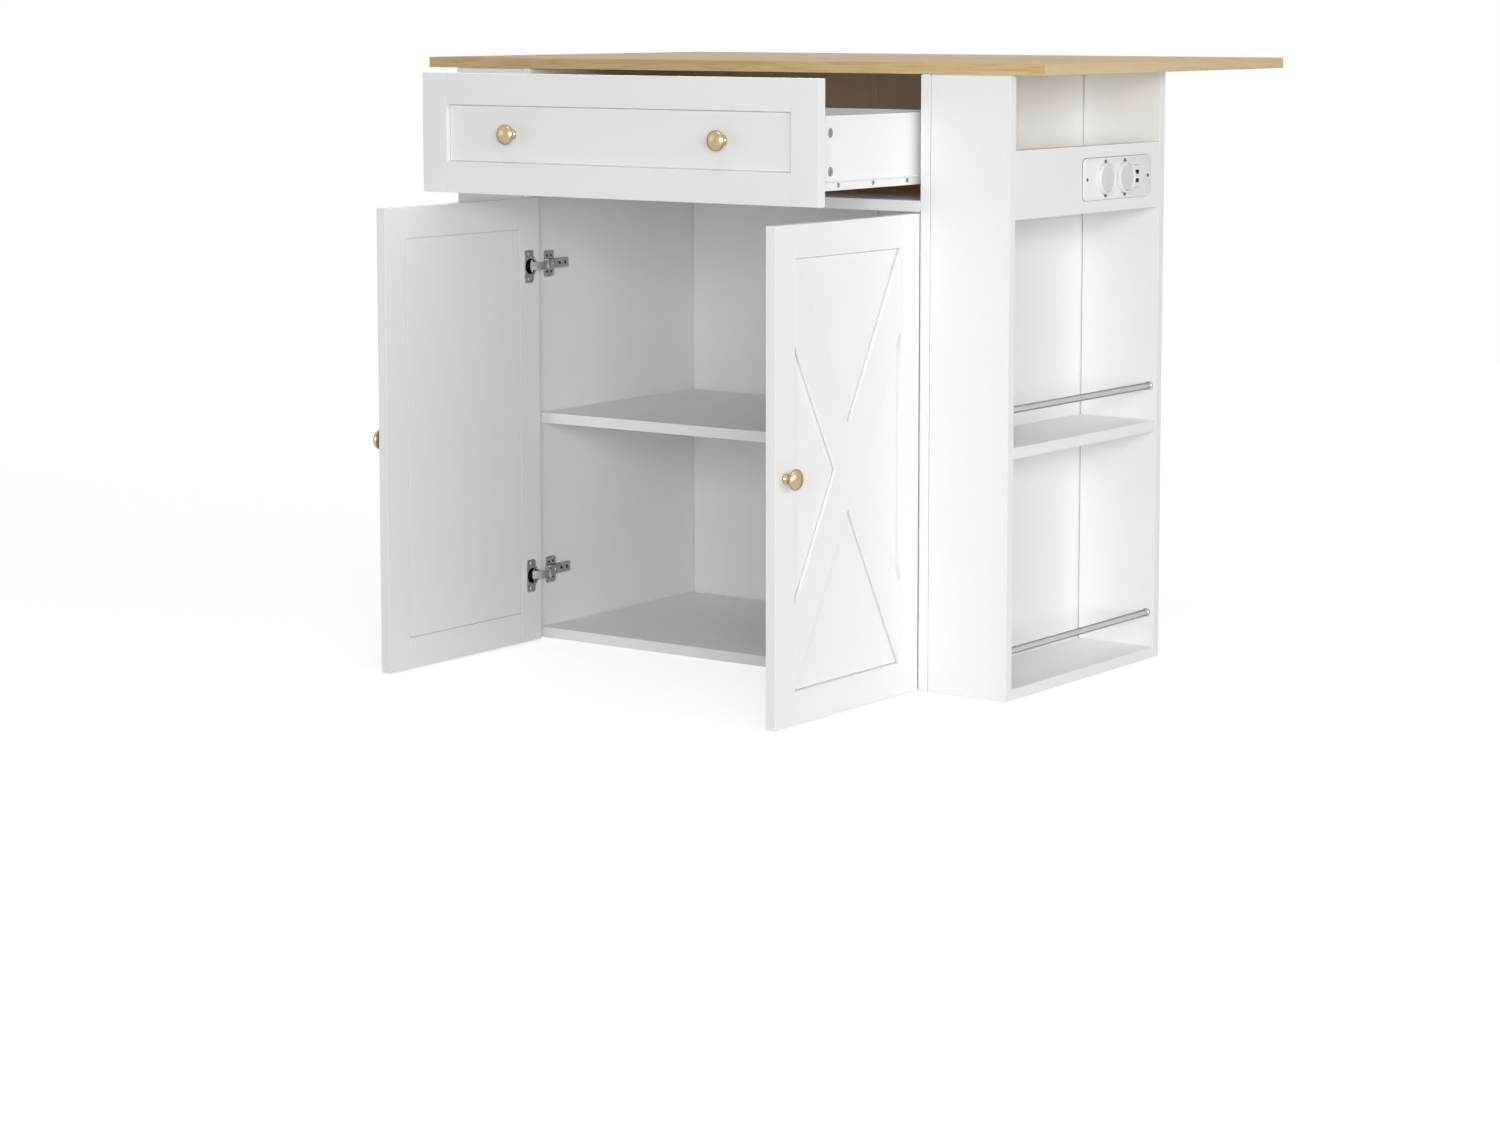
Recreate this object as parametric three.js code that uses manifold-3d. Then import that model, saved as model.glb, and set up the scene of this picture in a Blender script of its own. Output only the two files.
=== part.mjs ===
// Kitchen island unit: a cabinet with two inset doors and a drawer, an open rack at each end,
// a wooden worktop and a drop leaf held up by two folding brackets.
// Millimetres, +Z up. The origin is the middle of the cabinet's footprint, on the floor.
// Inside this file the front of the cabinet is the plane y = 0 and the back is y = BODY_DEPTH.
// The doors stand open, the drawer is pulled out and the leaf is raised.

import * as THREE from 'three';
import { mergeVertices } from 'three/addons/utils/BufferGeometryUtils.js';
import Module from 'manifold-3d';

const wasm = await Module();
wasm.setup();

// ---- Driving dimensions ----

// Cabinet
const HEIGHT = 900;
const BODY_DEPTH = 440;
const OPENING_WIDTH = 712;
const BOARD = 16;
const INSET_SETBACK = 18;
const SHELF_TOP = 353;
const SHELF_BACK_CLEARANCE = 2;
const DRAWER_BAY_HEIGHT = 179;
const BACK_BOARD = 3;
const BACK_INSET = 22;
const STRIP_WIDTH = 14;
const STRIP_FLANGE = 1;
const STRIP_WEB = 2;
const APRON_HEIGHT = 160;

// End racks
const RACK_DEPTH = 131.5;
const RACK_SHELF_TOP = 361;
const FASCIA_DROP = 105;
const FASCIA_HEIGHT = 97;
const RAIL_DIAMETER = 10;
const RAIL_SEAT_DIAMETER = 12.5;
const RAIL_SEAT_DEPTH = 4;
const RAIL_INSET = 12;
const RAIL_ABOVE_SHELF = 52;

// Socket unit
const SOCKET_LENGTH = 195;
const SOCKET_HEIGHT = 61;
const SOCKET_PLATE = 3;
const SOCKET_CORNER = 8;
const SOCKET_REAR_MARGIN = 30;
const SOCKET_LIP = 12;
const SOCKET_BOX_DEPTH = 34;
const SOCKET_COVER_DIAMETER = 46;
const SOCKET_COVER_HEIGHT = 7;
const SOCKET_COVER_PITCH = 56;
const SOCKET_FIRST_COVER = 60;
const USB_WIDTH = 20;
const USB_HEIGHT = 34;
const USB_RISE = 1;
const USB_FROM_END = 44;

// Worktop and leaf
const TOP_OVERHANG = 56.5;
const TOP_REAR_OVERHANG = 2.6;
const LEAF_DEPTH = 265.6;
const LEAF_GAP = 0.8;

// Folding brackets
const BRACKET_OFFSET = 220;
const BRACKET_STEEL = 1.8;
const BRACKET_WEB = 10;
const BRACKET_FLANGE = 17;
const BRACKET_REACH = 247;
const BRACKET_FOOT_MARGIN = 6;
const BRACKET_EAR = 4.5;
const LEAF_PIVOT_DROP = 5;
const BRACE_LENGTH = 150;
const BRACE_WIDTH = 9;
const BRACE_STEEL = 2.5;
const BRACE_PIVOT_DROP = 85;
const BRACE_SLOT_DROP = 2;
const BRACE_SLOT_WIDTH = 4;
const RIVET = 5;

// Doors and drawer front
const FRONT_GAP = 2;
const DOOR_MEETING_GAP = 3;
const FRONT_THICKNESS = 16;
const FRAME_WIDTH = 46;
const DOOR_RECESS = 6.5;
const DRAWER_RECESS = 7;
const BRACE_FOOT = 116;
const DOOR_OPEN_DEGREES = 90;

// Knobs
const KNOB_HEAD = 29;
const KNOB_BASE = 14.5;
const KNOB_NECK = 10;
const KNOB_PROJECTION = 24.5;
const DRAWER_KNOB_OFFSET = 189;

// Drawer
const DRAWER_PULLED = 252;
const DRAWER_LENGTH = 350;
const DRAWER_SIDE = 12;
const DRAWER_SIDE_LIFT = 24;
const DRAWER_SIDE_HEIGHT = 101;
const DRAWER_BOTTOM_LIFT = 8;
const DRAWER_BOTTOM_BOARD = 4;
const DRAWER_GROOVE = 6;

// Runners
const RUNNER_SPACE = 12.5;
const RUNNER_STEEL = 1.2;
const RUNNER_LENGTH = 348;
const RUNNER_FLANGE = 8;
const RUNNER_SETBACK = 1.5;
const ROLLER_DIAMETER = 17;
const ROLLER_WIDTH = 6;
const ROLLER_AXLE = 5;
const ROLLER_LIFT = 2.2;
const ROLLER_FROM_END = 0.5;
const RUNNER_HOLE = 4.5;
const RUNNER_HOLES = 4;
const RUNNER_HOLE_INSET = 46;

// Concealed hinges, measured from the corner line that the door turns about
const HINGE_FROM_END = 104;
const CUP_DIAMETER = 26;
const CUP_DEPTH = 12;
const CUP_WALL = 1;
const CUP_FROM_EDGE = 22.5;
const CUP_FLANGE = 1.5;
const CUP_FLANGE_HEIGHT = 50;
const CUP_FLANGE_WIDTH = 20;
const CUP_SCREW_PITCH = 39;
const CUP_SCREW_HOLE = 4;
const CUP_PIN = 3;
const CUP_PIN_DEGREES = 40;
const LINK_RADIUS = 24;
const LINK_STEEL = 2;
const LINK_WIDTH = 12;
const LINK_FROM_DEGREES = -55;
const LINK_TO_DEGREES = 16;
const NOSE_STEEL = 2.5;
const NOSE_FROM_DEGREES = 13;
const NOSE_TO_DEGREES = 82;
const ARM_WIDTH = 15;
const ARM_HEIGHT = 9;
const ARM_END = 84.5;
const ARM_TAIL_HEIGHT = 4.5;
const PLATE_FROM = 28;
const PLATE_LENGTH = 24;
const PLATE_HEIGHT = 41;
const PLATE_STEEL = 1.5;
const PLATE_SCREW_PITCH = 25;

// Clearances
const SEAT_GAP = 0.3;

// ---- Sizes worked out from them ----

const CARCASS_TOP = HEIGHT - BOARD;
const INNER = OPENING_WIDTH / 2;
const SIDE_OUTER = INNER + BOARD;
const BODY_HALF = SIDE_OUTER + RACK_DEPTH;
const BACK_FACE = BODY_DEPTH - BACK_INSET;
const BACK_FRONT = BACK_FACE - BACK_BOARD;
const APRON_BACK = BACK_FACE + BOARD;
const DIVIDER_TOP = CARCASS_TOP - DRAWER_BAY_HEIGHT;
const DIVIDER_BOTTOM = DIVIDER_TOP - BOARD;
const FASCIA_TOP = CARCASS_TOP - FASCIA_DROP;
const FASCIA_BOTTOM = FASCIA_TOP - FASCIA_HEIGHT;
const TOP_HALF = BODY_HALF + TOP_OVERHANG;
const DOOR_BOTTOM = FRONT_GAP;
const DOOR_TOP = DIVIDER_BOTTOM - FRONT_GAP;
const DOOR_WIDTH = (OPENING_WIDTH - 2 * FRONT_GAP - DOOR_MEETING_GAP) / 2;
const DRAWER_FRONT_HALF = INNER - 1.5;
const DRAWER_FRONT_BOTTOM = DIVIDER_TOP + FRONT_GAP;
const DRAWER_FRONT_TOP = CARCASS_TOP - FRONT_GAP;
const DRAWER_OUTER = INNER - RUNNER_SPACE;
const DRAWER_SIDE_BOTTOM = DIVIDER_TOP + DRAWER_SIDE_LIFT;
const ROLLER_CENTRE_Z = DRAWER_SIDE_BOTTOM + ROLLER_LIFT;
const PIVOT_Y = BODY_DEPTH + TOP_REAR_OVERHANG + LEAF_GAP / 2;
const PIVOT_Z = CARCASS_TOP - LEAF_PIVOT_DROP;

const group = new THREE.Group();
const model = new THREE.Group();
model.position.y = -BODY_DEPTH / 2;
group.add(model);

// ---- Materials ----

function finish(color, roughness, metalness) {
  return () => new THREE.MeshStandardMaterial({ color, roughness, metalness });
}

const whiteBoard = finish(0xf2f2f1, 0.45, 0);
const oak = finish(0xc9ac72, 0.5, 0);
const brass = finish(0xc2a568, 0.3, 1);
const steel = finish(0xa9abad, 0.3, 1);
const brightRail = finish(0xd3d5d6, 0.2, 1);
const whiteEnamel = finish(0xf4f4f4, 0.35, 0.2);
const whitePlastic = finish(0xefefef, 0.4, 0);

// ---- Solids ----

function solid(geometry) {
  const bare = geometry.index ? geometry.toNonIndexed() : geometry.clone();
  bare.deleteAttribute('normal');
  bare.deleteAttribute('uv');
  const merged = mergeVertices(bare, 1e-4);
  const vertProperties = new Float32Array(merged.attributes.position.array);
  const triVerts = new Uint32Array(merged.index.array);
  return new wasm.Manifold(new wasm.Mesh({ numProp: 3, vertProperties, triVerts }));
}

function surface(body) {
  const mesh = body.getMesh();
  const geometry = new THREE.BufferGeometry();
  geometry.setAttribute('position', new THREE.BufferAttribute(new Float32Array(mesh.vertProperties), 3));
  geometry.setIndex(new THREE.BufferAttribute(new Uint32Array(mesh.triVerts), 1));
  geometry.computeVertexNormals();
  return geometry;
}

function join(first, ...others) {
  return surface(others.reduce((body, other) => body.add(solid(other)), solid(first)));
}

function cut(first, ...others) {
  return surface(others.reduce((body, other) => body.subtract(solid(other)), solid(first)));
}

// A block between two corners.
function block([x0, y0, z0], [x1, y1, z1]) {
  const geometry = new THREE.BoxGeometry(x1 - x0, y1 - y0, z1 - z0);
  return geometry.translate((x0 + x1) / 2, (y0 + y1) / 2, (z0 + z1) / 2);
}

// A cylinder whose axis is 'x', 'y' or 'z', centred on a point.
function rod(axis, diameter, length, [x, y, z], sides = 20) {
  const geometry = new THREE.CylinderGeometry(diameter / 2, diameter / 2, length, sides);
  if (axis === 'x') geometry.rotateZ(-Math.PI / 2);
  if (axis === 'z') geometry.rotateX(Math.PI / 2);
  return geometry.translate(x, y, z);
}

function outline(points) {
  return new THREE.Shape(points.map(([x, y]) => new THREE.Vector2(x, y)));
}

// An outline in the plane of x and y, raised from z0 to z1.
function plateXY(shape, z0, z1, curveSegments = 6) {
  const geometry = new THREE.ExtrudeGeometry(shape, { depth: z1 - z0, bevelEnabled: false, curveSegments });
  return geometry.translate(0, 0, z0);
}

// An outline given in x and z, with its thickness from y0 to y1.
function plateXZ(shape, y0, y1, curveSegments = 6) {
  const geometry = new THREE.ExtrudeGeometry(shape, { depth: y1 - y0, bevelEnabled: false, curveSegments });
  return geometry.rotateX(Math.PI / 2).translate(0, y1, 0);
}

// An outline given in y and z, with its thickness from x0 to x1.
function plateYZ(shape, x0, x1, curveSegments = 6) {
  const geometry = new THREE.ExtrudeGeometry(shape, { depth: x1 - x0, bevelEnabled: false, curveSegments });
  return geometry.rotateZ(Math.PI / 2).rotateY(Math.PI / 2).translate(x0, 0, 0);
}

function roundedBox(x0, y0, x1, y1, radius) {
  const shape = new THREE.Shape();
  shape.moveTo(x0 + radius, y0);
  shape.lineTo(x1 - radius, y0);
  shape.absarc(x1 - radius, y0 + radius, radius, -Math.PI / 2, 0, false);
  shape.lineTo(x1, y1 - radius);
  shape.absarc(x1 - radius, y1 - radius, radius, 0, Math.PI / 2, false);
  shape.lineTo(x0 + radius, y1);
  shape.absarc(x0 + radius, y1 - radius, radius, Math.PI / 2, Math.PI, false);
  shape.lineTo(x0, y0 + radius);
  shape.absarc(x0 + radius, y0 + radius, radius, Math.PI, 1.5 * Math.PI, false);
  return shape;
}

// A curved strip about the origin, between two radii and two angles.
function arcStrip(inner, outer, fromDegrees, toDegrees) {
  const from = THREE.MathUtils.degToRad(fromDegrees);
  const to = THREE.MathUtils.degToRad(toDegrees);
  const shape = new THREE.Shape();
  shape.absarc(0, 0, outer, from, to, false);
  shape.absarc(0, 0, inner, to, from, true);
  return shape;
}

// The same form for the other end of the cabinet.
function mirrored(geometry) {
  const copy = geometry.index ? geometry.toNonIndexed() : geometry.clone();
  const position = copy.attributes.position;
  for (let i = 0; i < position.count; i += 3) {
    const corners = [0, 1, 2].map((k) => [position.getX(i + k), position.getY(i + k), position.getZ(i + k)]);
    [corners[0], corners[2], corners[1]].forEach(([x, y, z], k) => position.setXYZ(i + k, -x, y, z));
  }
  copy.computeVertexNormals();
  return copy;
}

function add(parent, name, geometry, material) {
  const mesh = new THREE.Mesh(geometry, material());
  mesh.name = name;
  parent.add(mesh);
  return mesh;
}

// Both ends: side -1 is the left one, as the forms are drawn, and +1 is its mirror image.
const SIDES = [['left', -1], ['right', 1]];

function addSided(parent, name, side, geometry, material) {
  return add(parent, name, side < 0 ? geometry : mirrored(geometry), material);
}

// ---- Cabinet ----

function stripNotch(z0, z1) {
  const half = STRIP_WIDTH / 2 + SEAT_GAP;
  const depth = STRIP_FLANGE + SEAT_GAP;
  return block([-half, BACK_FRONT - depth, z0 - 1], [half, BACK_FRONT + 1, z1 + 1]);
}

function addCabinet() {
  for (const [end, side] of SIDES) {
    const panel = block([-SIDE_OUTER, 0, 0], [-INNER, BODY_DEPTH, CARCASS_TOP]);
    addSided(model, `side_panel_${end}`, side, panel, whiteBoard);
    const back = block([-INNER, BACK_FRONT, 0], [-STRIP_WEB / 2 - SEAT_GAP, BACK_FACE, CARCASS_TOP]);
    addSided(model, `back_panel_${end}`, side, back, whiteBoard);
  }
  const bottom = block([-INNER, INSET_SETBACK, 0], [INNER, BACK_FRONT, BOARD]);
  add(model, 'bottom_panel', cut(bottom, stripNotch(0, BOARD)), whiteBoard);

  const shelfBack = BACK_FRONT - SHELF_BACK_CLEARANCE;
  const shelf = block([-INNER, INSET_SETBACK, SHELF_TOP - BOARD], [INNER, shelfBack, SHELF_TOP]);
  add(model, 'middle_shelf', shelf, whiteBoard);

  const divider = block([-INNER, 0, DIVIDER_BOTTOM], [INNER, BACK_FRONT, DIVIDER_TOP]);
  add(model, 'drawer_divider', cut(divider, stripNotch(DIVIDER_BOTTOM, DIVIDER_TOP)), whiteBoard);

  const flange = block([-STRIP_WIDTH / 2, BACK_FRONT - STRIP_FLANGE, 0],
    [STRIP_WIDTH / 2, BACK_FRONT, CARCASS_TOP]);
  const web = block([-STRIP_WEB / 2, BACK_FRONT - STRIP_FLANGE / 2, 0],
    [STRIP_WEB / 2, BACK_FACE, CARCASS_TOP]);
  add(model, 'back_joint_strip', join(flange, web), whitePlastic);

  const apron = block([-INNER, BACK_FACE, CARCASS_TOP - APRON_HEIGHT], [INNER, APRON_BACK, CARCASS_TOP]);
  add(model, 'rear_apron', apron, whiteBoard);
}

// ---- End racks ----

function railForm() {
  const length = BODY_DEPTH - 2 * BOARD - 2 * SEAT_GAP;
  const seat = RAIL_SEAT_DIAMETER / 2;
  const tube = RAIL_DIAMETER / 2;
  const profile = [
    [0, 0], [seat, 0], [seat, RAIL_SEAT_DEPTH], [tube, RAIL_SEAT_DEPTH],
    [tube, length - RAIL_SEAT_DEPTH], [seat, length - RAIL_SEAT_DEPTH], [seat, length], [0, length],
  ];
  const geometry = new THREE.LatheGeometry(profile.map(([r, h]) => new THREE.Vector2(r, h)), 20);
  return surface(solid(geometry)).translate(0, BOARD + SEAT_GAP, 0);
}

function socketCentreY() {
  return BODY_DEPTH - BOARD - SOCKET_REAR_MARGIN - SOCKET_LENGTH / 2;
}

function fasciaForm() {
  const board = block([-BODY_HALF, BOARD, FASCIA_BOTTOM],
    [-BODY_HALF + BOARD, BODY_DEPTH - BOARD, FASCIA_TOP]);
  const middleY = socketCentreY();
  const middleZ = FASCIA_BOTTOM + FASCIA_HEIGHT / 2;
  const halfLength = SOCKET_LENGTH / 2 - SOCKET_LIP;
  const halfHeight = SOCKET_HEIGHT / 2 - SOCKET_LIP;
  const hole = block([-BODY_HALF - 1, middleY - halfLength, middleZ - halfHeight],
    [-BODY_HALF + BOARD + 1, middleY + halfLength, middleZ + halfHeight]);
  return cut(board, hole);
}

// Face plate, two round covers, the charging block and the closed box behind them.
function socketForm() {
  const face = -BODY_HALF - SOCKET_PLATE;
  const y = socketCentreY();
  const z = FASCIA_BOTTOM + FASCIA_HEIGHT / 2;
  const halfLength = SOCKET_LENGTH / 2;
  const face2D = roundedBox(y - halfLength, z - SOCKET_HEIGHT / 2, y + halfLength, z + SOCKET_HEIGHT / 2,
    SOCKET_CORNER);
  const plate = plateYZ(face2D, face, -BODY_HALF);
  const inset = SOCKET_LIP + SEAT_GAP;
  const box = block([-BODY_HALF - SOCKET_PLATE / 2, y - halfLength + inset, z - SOCKET_HEIGHT / 2 + inset],
    [-BODY_HALF + SOCKET_BOX_DEPTH, y + halfLength - inset, z + SOCKET_HEIGHT / 2 - inset]);
  const coverDepth = SOCKET_COVER_HEIGHT + SOCKET_PLATE / 2;
  const coverX = face - SOCKET_COVER_HEIGHT + coverDepth / 2;
  const firstY = y - halfLength + SOCKET_FIRST_COVER;
  const covers = [0, SOCKET_COVER_PITCH].map((step) => (
    rod('x', SOCKET_COVER_DIAMETER, coverDepth, [coverX, firstY + step, z], 32)));
  const usbY = y + halfLength - USB_FROM_END;
  const usb = block([face - USB_RISE, usbY - USB_WIDTH / 2, z - USB_HEIGHT / 2],
    [face + SOCKET_PLATE / 2, usbY + USB_WIDTH / 2, z + USB_HEIGHT / 2]);
  return join(plate, box, ...covers, usb);
}

function addRacks() {
  const innerBack = BODY_DEPTH - BOARD;
  for (const [end, side] of SIDES) {
    const front = block([-BODY_HALF, 0, 0], [-SIDE_OUTER, BOARD, CARCASS_TOP]);
    addSided(model, `rack_front_${end}`, side, front, whiteBoard);
    const rear = block([-BODY_HALF, innerBack, 0], [-SIDE_OUTER, BODY_DEPTH, CARCASS_TOP]);
    addSided(model, `rack_rear_${end}`, side, rear, whiteBoard);
    const floor = block([-BODY_HALF, BOARD, 0], [-SIDE_OUTER, innerBack, BOARD]);
    addSided(model, `rack_bottom_${end}`, side, floor, whiteBoard);
    const shelf = block([-BODY_HALF, BOARD, RACK_SHELF_TOP - BOARD],
      [-SIDE_OUTER, innerBack, RACK_SHELF_TOP]);
    addSided(model, `rack_shelf_${end}`, side, shelf, whiteBoard);
    for (const [level, base] of [['lower', BOARD], ['upper', RACK_SHELF_TOP]]) {
      const rail = add(model, `rack_rail_${level}_${end}`, railForm(), brightRail);
      rail.position.set(side * (BODY_HALF - RAIL_INSET), 0, base + RAIL_ABOVE_SHELF);
    }
  }
  addSided(model, 'rack_fascia_right', 1, fasciaForm(), whiteBoard);
  addSided(model, 'socket_unit', 1, socketForm(), whitePlastic);
}

// ---- Worktop, leaf and folding brackets ----

// Each bracket is drawn about x = 0: wall leg, brace and shelf leg lie side by side.
const WALL_WEB_FROM = -BRACKET_STEEL / 2;
const WALL_WEB_TO = BRACKET_STEEL / 2;
const BRACE_FROM = WALL_WEB_TO + SEAT_GAP;
const BRACE_TO = BRACE_FROM + BRACE_STEEL;
const SHELF_WEB_FROM = BRACE_TO + SEAT_GAP;
const SHELF_WEB_TO = SHELF_WEB_FROM + BRACKET_STEEL;
const BRACE_PIVOT_Y = APRON_BACK + BRACKET_STEEL + SEAT_GAP + BRACE_WIDTH / 2;
const BRACE_PIVOT_Z = PIVOT_Z - BRACE_PIVOT_DROP;

// Vertical web and flange on the apron, an ear for the leaf's pivot, and the two rivets.
function wallLegForm() {
  const foot = CARCASS_TOP - APRON_HEIGHT + BRACKET_FOOT_MARGIN;
  const flange = block([WALL_WEB_TO - BRACKET_FLANGE, APRON_BACK, foot],
    [WALL_WEB_TO, APRON_BACK + BRACKET_STEEL, PIVOT_Z - BRACKET_EAR]);
  const web = block([WALL_WEB_FROM, APRON_BACK, foot], [WALL_WEB_TO, APRON_BACK + BRACKET_WEB, PIVOT_Z]);
  const ear = rod('x', 2 * BRACKET_EAR, BRACKET_STEEL, [0, PIVOT_Y, PIVOT_Z], 24);
  const leafPin = rod('x', RIVET, SHELF_WEB_TO + SEAT_GAP, [(SHELF_WEB_TO + SEAT_GAP) / 2, PIVOT_Y, PIVOT_Z]);
  const bracePin = rod('x', RIVET, BRACE_TO, [BRACE_TO / 2, BRACE_PIVOT_Y, BRACE_PIVOT_Z]);
  return join(flange, web, ear, leafPin, bracePin);
}

// Reach along the leaf, from its pivot, at which the brace's end meets the slot.
function braceReach() {
  const rise = BRACE_PIVOT_DROP - BRACE_SLOT_DROP;
  return BRACE_PIVOT_Y - PIVOT_Y + Math.sqrt(BRACE_LENGTH ** 2 - rise ** 2);
}

// Web under the leaf with its ear and long slot, and the flange that is screwed to the leaf.
function shelfLegForm() {
  const tip = PIVOT_Y + BRACKET_REACH;
  const shape = new THREE.Shape();
  shape.moveTo(tip, CARCASS_TOP);
  shape.lineTo(PIVOT_Y + BRACKET_EAR, CARCASS_TOP);
  shape.absarc(PIVOT_Y, PIVOT_Z, BRACKET_EAR, Math.PI / 4, 1.5 * Math.PI, false);
  shape.lineTo(tip - BRACKET_WEB / 2, CARCASS_TOP - BRACKET_WEB);
  shape.lineTo(tip, CARCASS_TOP - BRACKET_WEB / 2);
  const web = plateYZ(shape, SHELF_WEB_FROM, SHELF_WEB_TO, 14);
  const flange = block([SHELF_WEB_FROM, PIVOT_Y + 2 * BRACKET_EAR, CARCASS_TOP - BRACKET_STEEL],
    [SHELF_WEB_FROM + BRACKET_FLANGE, tip, CARCASS_TOP]);
  const hole = rod('x', RIVET + 2 * SEAT_GAP, 4 * BRACKET_STEEL, [SHELF_WEB_FROM, PIVOT_Y, PIVOT_Z]);
  const slotZ = PIVOT_Z - BRACE_SLOT_DROP;
  const slotFrom = PIVOT_Y + braceReach() - BRACE_SLOT_WIDTH / 2;
  const slotTo = PIVOT_Y + BRACE_PIVOT_DROP + BRACE_LENGTH + BRACE_SLOT_WIDTH / 2;
  const slot = block([SHELF_WEB_FROM - 1, slotFrom, slotZ - BRACE_SLOT_WIDTH / 2],
    [SHELF_WEB_TO + 1, Math.min(slotTo, tip - BRACKET_WEB / 2), slotZ + BRACE_SLOT_WIDTH / 2]);
  return cut(join(web, flange), hole, slot);
}

// Flat bar with round ends, from its pivot on the wall leg up to the slot.
function braceForm() {
  const half = BRACE_WIDTH / 2;
  const shape = new THREE.Shape();
  shape.absarc(0, 0, half, Math.PI / 2, 1.5 * Math.PI, false);
  shape.absarc(BRACE_LENGTH, 0, half, -Math.PI / 2, Math.PI / 2, false);
  const bar = plateYZ(shape, BRACE_FROM, BRACE_TO, 10);
  return cut(bar, rod('x', RIVET + 2 * SEAT_GAP, 4 * BRACE_TO, [0, 0, 0]));
}

function addTop() {
  const rear = BODY_DEPTH + TOP_REAR_OVERHANG;
  const top = block([-TOP_HALF, 0, CARCASS_TOP], [TOP_HALF, rear, HEIGHT]);
  add(model, 'worktop', top, oak);
  const leafFront = rear + LEAF_GAP;
  const leaf = block([-TOP_HALF, leafFront, CARCASS_TOP], [TOP_HALF, leafFront + LEAF_DEPTH, HEIGHT]);
  add(model, 'drop_leaf', leaf, oak);

  const lift = Math.asin((BRACE_PIVOT_DROP - BRACE_SLOT_DROP) / BRACE_LENGTH);
  for (const [end, side] of SIDES) {
    const place = (mesh) => mesh.position.setX(side * BRACKET_OFFSET);
    place(addSided(model, `leaf_bracket_wall_leg_${end}`, side, wallLegForm(), whiteEnamel));
    place(addSided(model, `leaf_bracket_shelf_leg_${end}`, side, shelfLegForm(), whiteEnamel));
    const brace = addSided(model, `leaf_bracket_brace_${end}`, side, braceForm(), whiteEnamel);
    brace.position.set(side * BRACKET_OFFSET, BRACE_PIVOT_Y, BRACE_PIVOT_Z);
    brace.rotation.x = lift;
  }
}

// ---- Knobs ----

// A mushroom knob: flared base, waisted neck and domed head, with its axis along -y.
function knobForm() {
  const base = KNOB_BASE / 2;
  const neck = KNOB_NECK / 2;
  const head = KNOB_HEAD / 2;
  const domeDepth = KNOB_PROJECTION / 3;
  const rim = KNOB_PROJECTION - domeDepth;
  const points = [[0, 0], [base, 0], [base, 2], [neck + 0.5, 4.5], [neck, 7.5], [neck + 1, rim - 6]];
  points.push([head * 0.82, rim - 3.6], [head, rim - 0.6]);
  for (let step = 1; step <= 6; step += 1) {
    const angle = (step / 6) * Math.PI / 2;
    points.push([step === 6 ? 0 : head * Math.cos(angle), rim + domeDepth * Math.sin(angle)]);
  }
  const geometry = new THREE.LatheGeometry(points.map(([r, h]) => new THREE.Vector2(r, h)), 20);
  return surface(solid(geometry.rotateX(Math.PI)));
}

// ---- Doors, in the closed position about the corner line, reaching towards +x ----

function crossBar(x0, z0, x1, z1) {
  return outline([[x0, z1], [x1, z0 + BRACE_FOOT], [x1, z0], [x0, z1 - BRACE_FOOT]]);
}

function fallingCross(x0, z0, x1, z1) {
  return outline([[x0, z0], [x1, z1 - BRACE_FOOT], [x1, z1], [x0, z0 + BRACE_FOOT]]);
}

function hingeHeights() {
  return [['lower', HINGE_FROM_END], ['upper', DOOR_TOP - HINGE_FROM_END]];
}

// Framed door with a recessed panel, a flush cross in front and two cup pockets behind.
function doorForm() {
  const x0 = FRONT_GAP;
  const x1 = FRONT_GAP + DOOR_WIDTH;
  const slab = block([x0, 0, DOOR_BOTTOM], [x1, FRONT_THICKNESS, DOOR_TOP]);
  const inner = [x0 + FRAME_WIDTH, DOOR_BOTTOM + FRAME_WIDTH, x1 - FRAME_WIDTH, DOOR_TOP - FRAME_WIDTH];
  const [ix0, iz0, ix1, iz1] = inner;
  const recess = solid(block([ix0, -1, iz0], [ix1, DOOR_RECESS, iz1]));
  const bars = [crossBar, fallingCross].map((bar) => solid(plateXZ(bar(...inner), -2, DOOR_RECESS + 1)));
  const sunk = bars.reduce((body, bar) => body.subtract(bar), recess);
  const pocketY = FRONT_THICKNESS + (1 - CUP_DEPTH - SEAT_GAP) / 2;
  const pockets = hingeHeights().map(([, z]) => (
    rod('y', CUP_DIAMETER + 2 * SEAT_GAP, CUP_DEPTH + 1 + SEAT_GAP, [x0 + CUP_FROM_EDGE, pocketY, z], 28)));
  return cut(surface(solid(slab).subtract(sunk)), ...pockets);
}

// Pin across the cup, which the link runs over.
function cupPin() {
  const reach = LINK_RADIUS - SEAT_GAP - CUP_PIN / 2;
  const angle = THREE.MathUtils.degToRad(CUP_PIN_DEGREES);
  const x = reach * Math.cos(angle);
  const fromMiddle = FRONT_GAP + CUP_FROM_EDGE - x + CUP_PIN / 2;
  const half = Math.sqrt((CUP_DIAMETER / 2) ** 2 - fromMiddle ** 2);
  return rod('z', CUP_PIN, 2 * half, [x, reach * Math.sin(angle), 0], 10);
}

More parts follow.
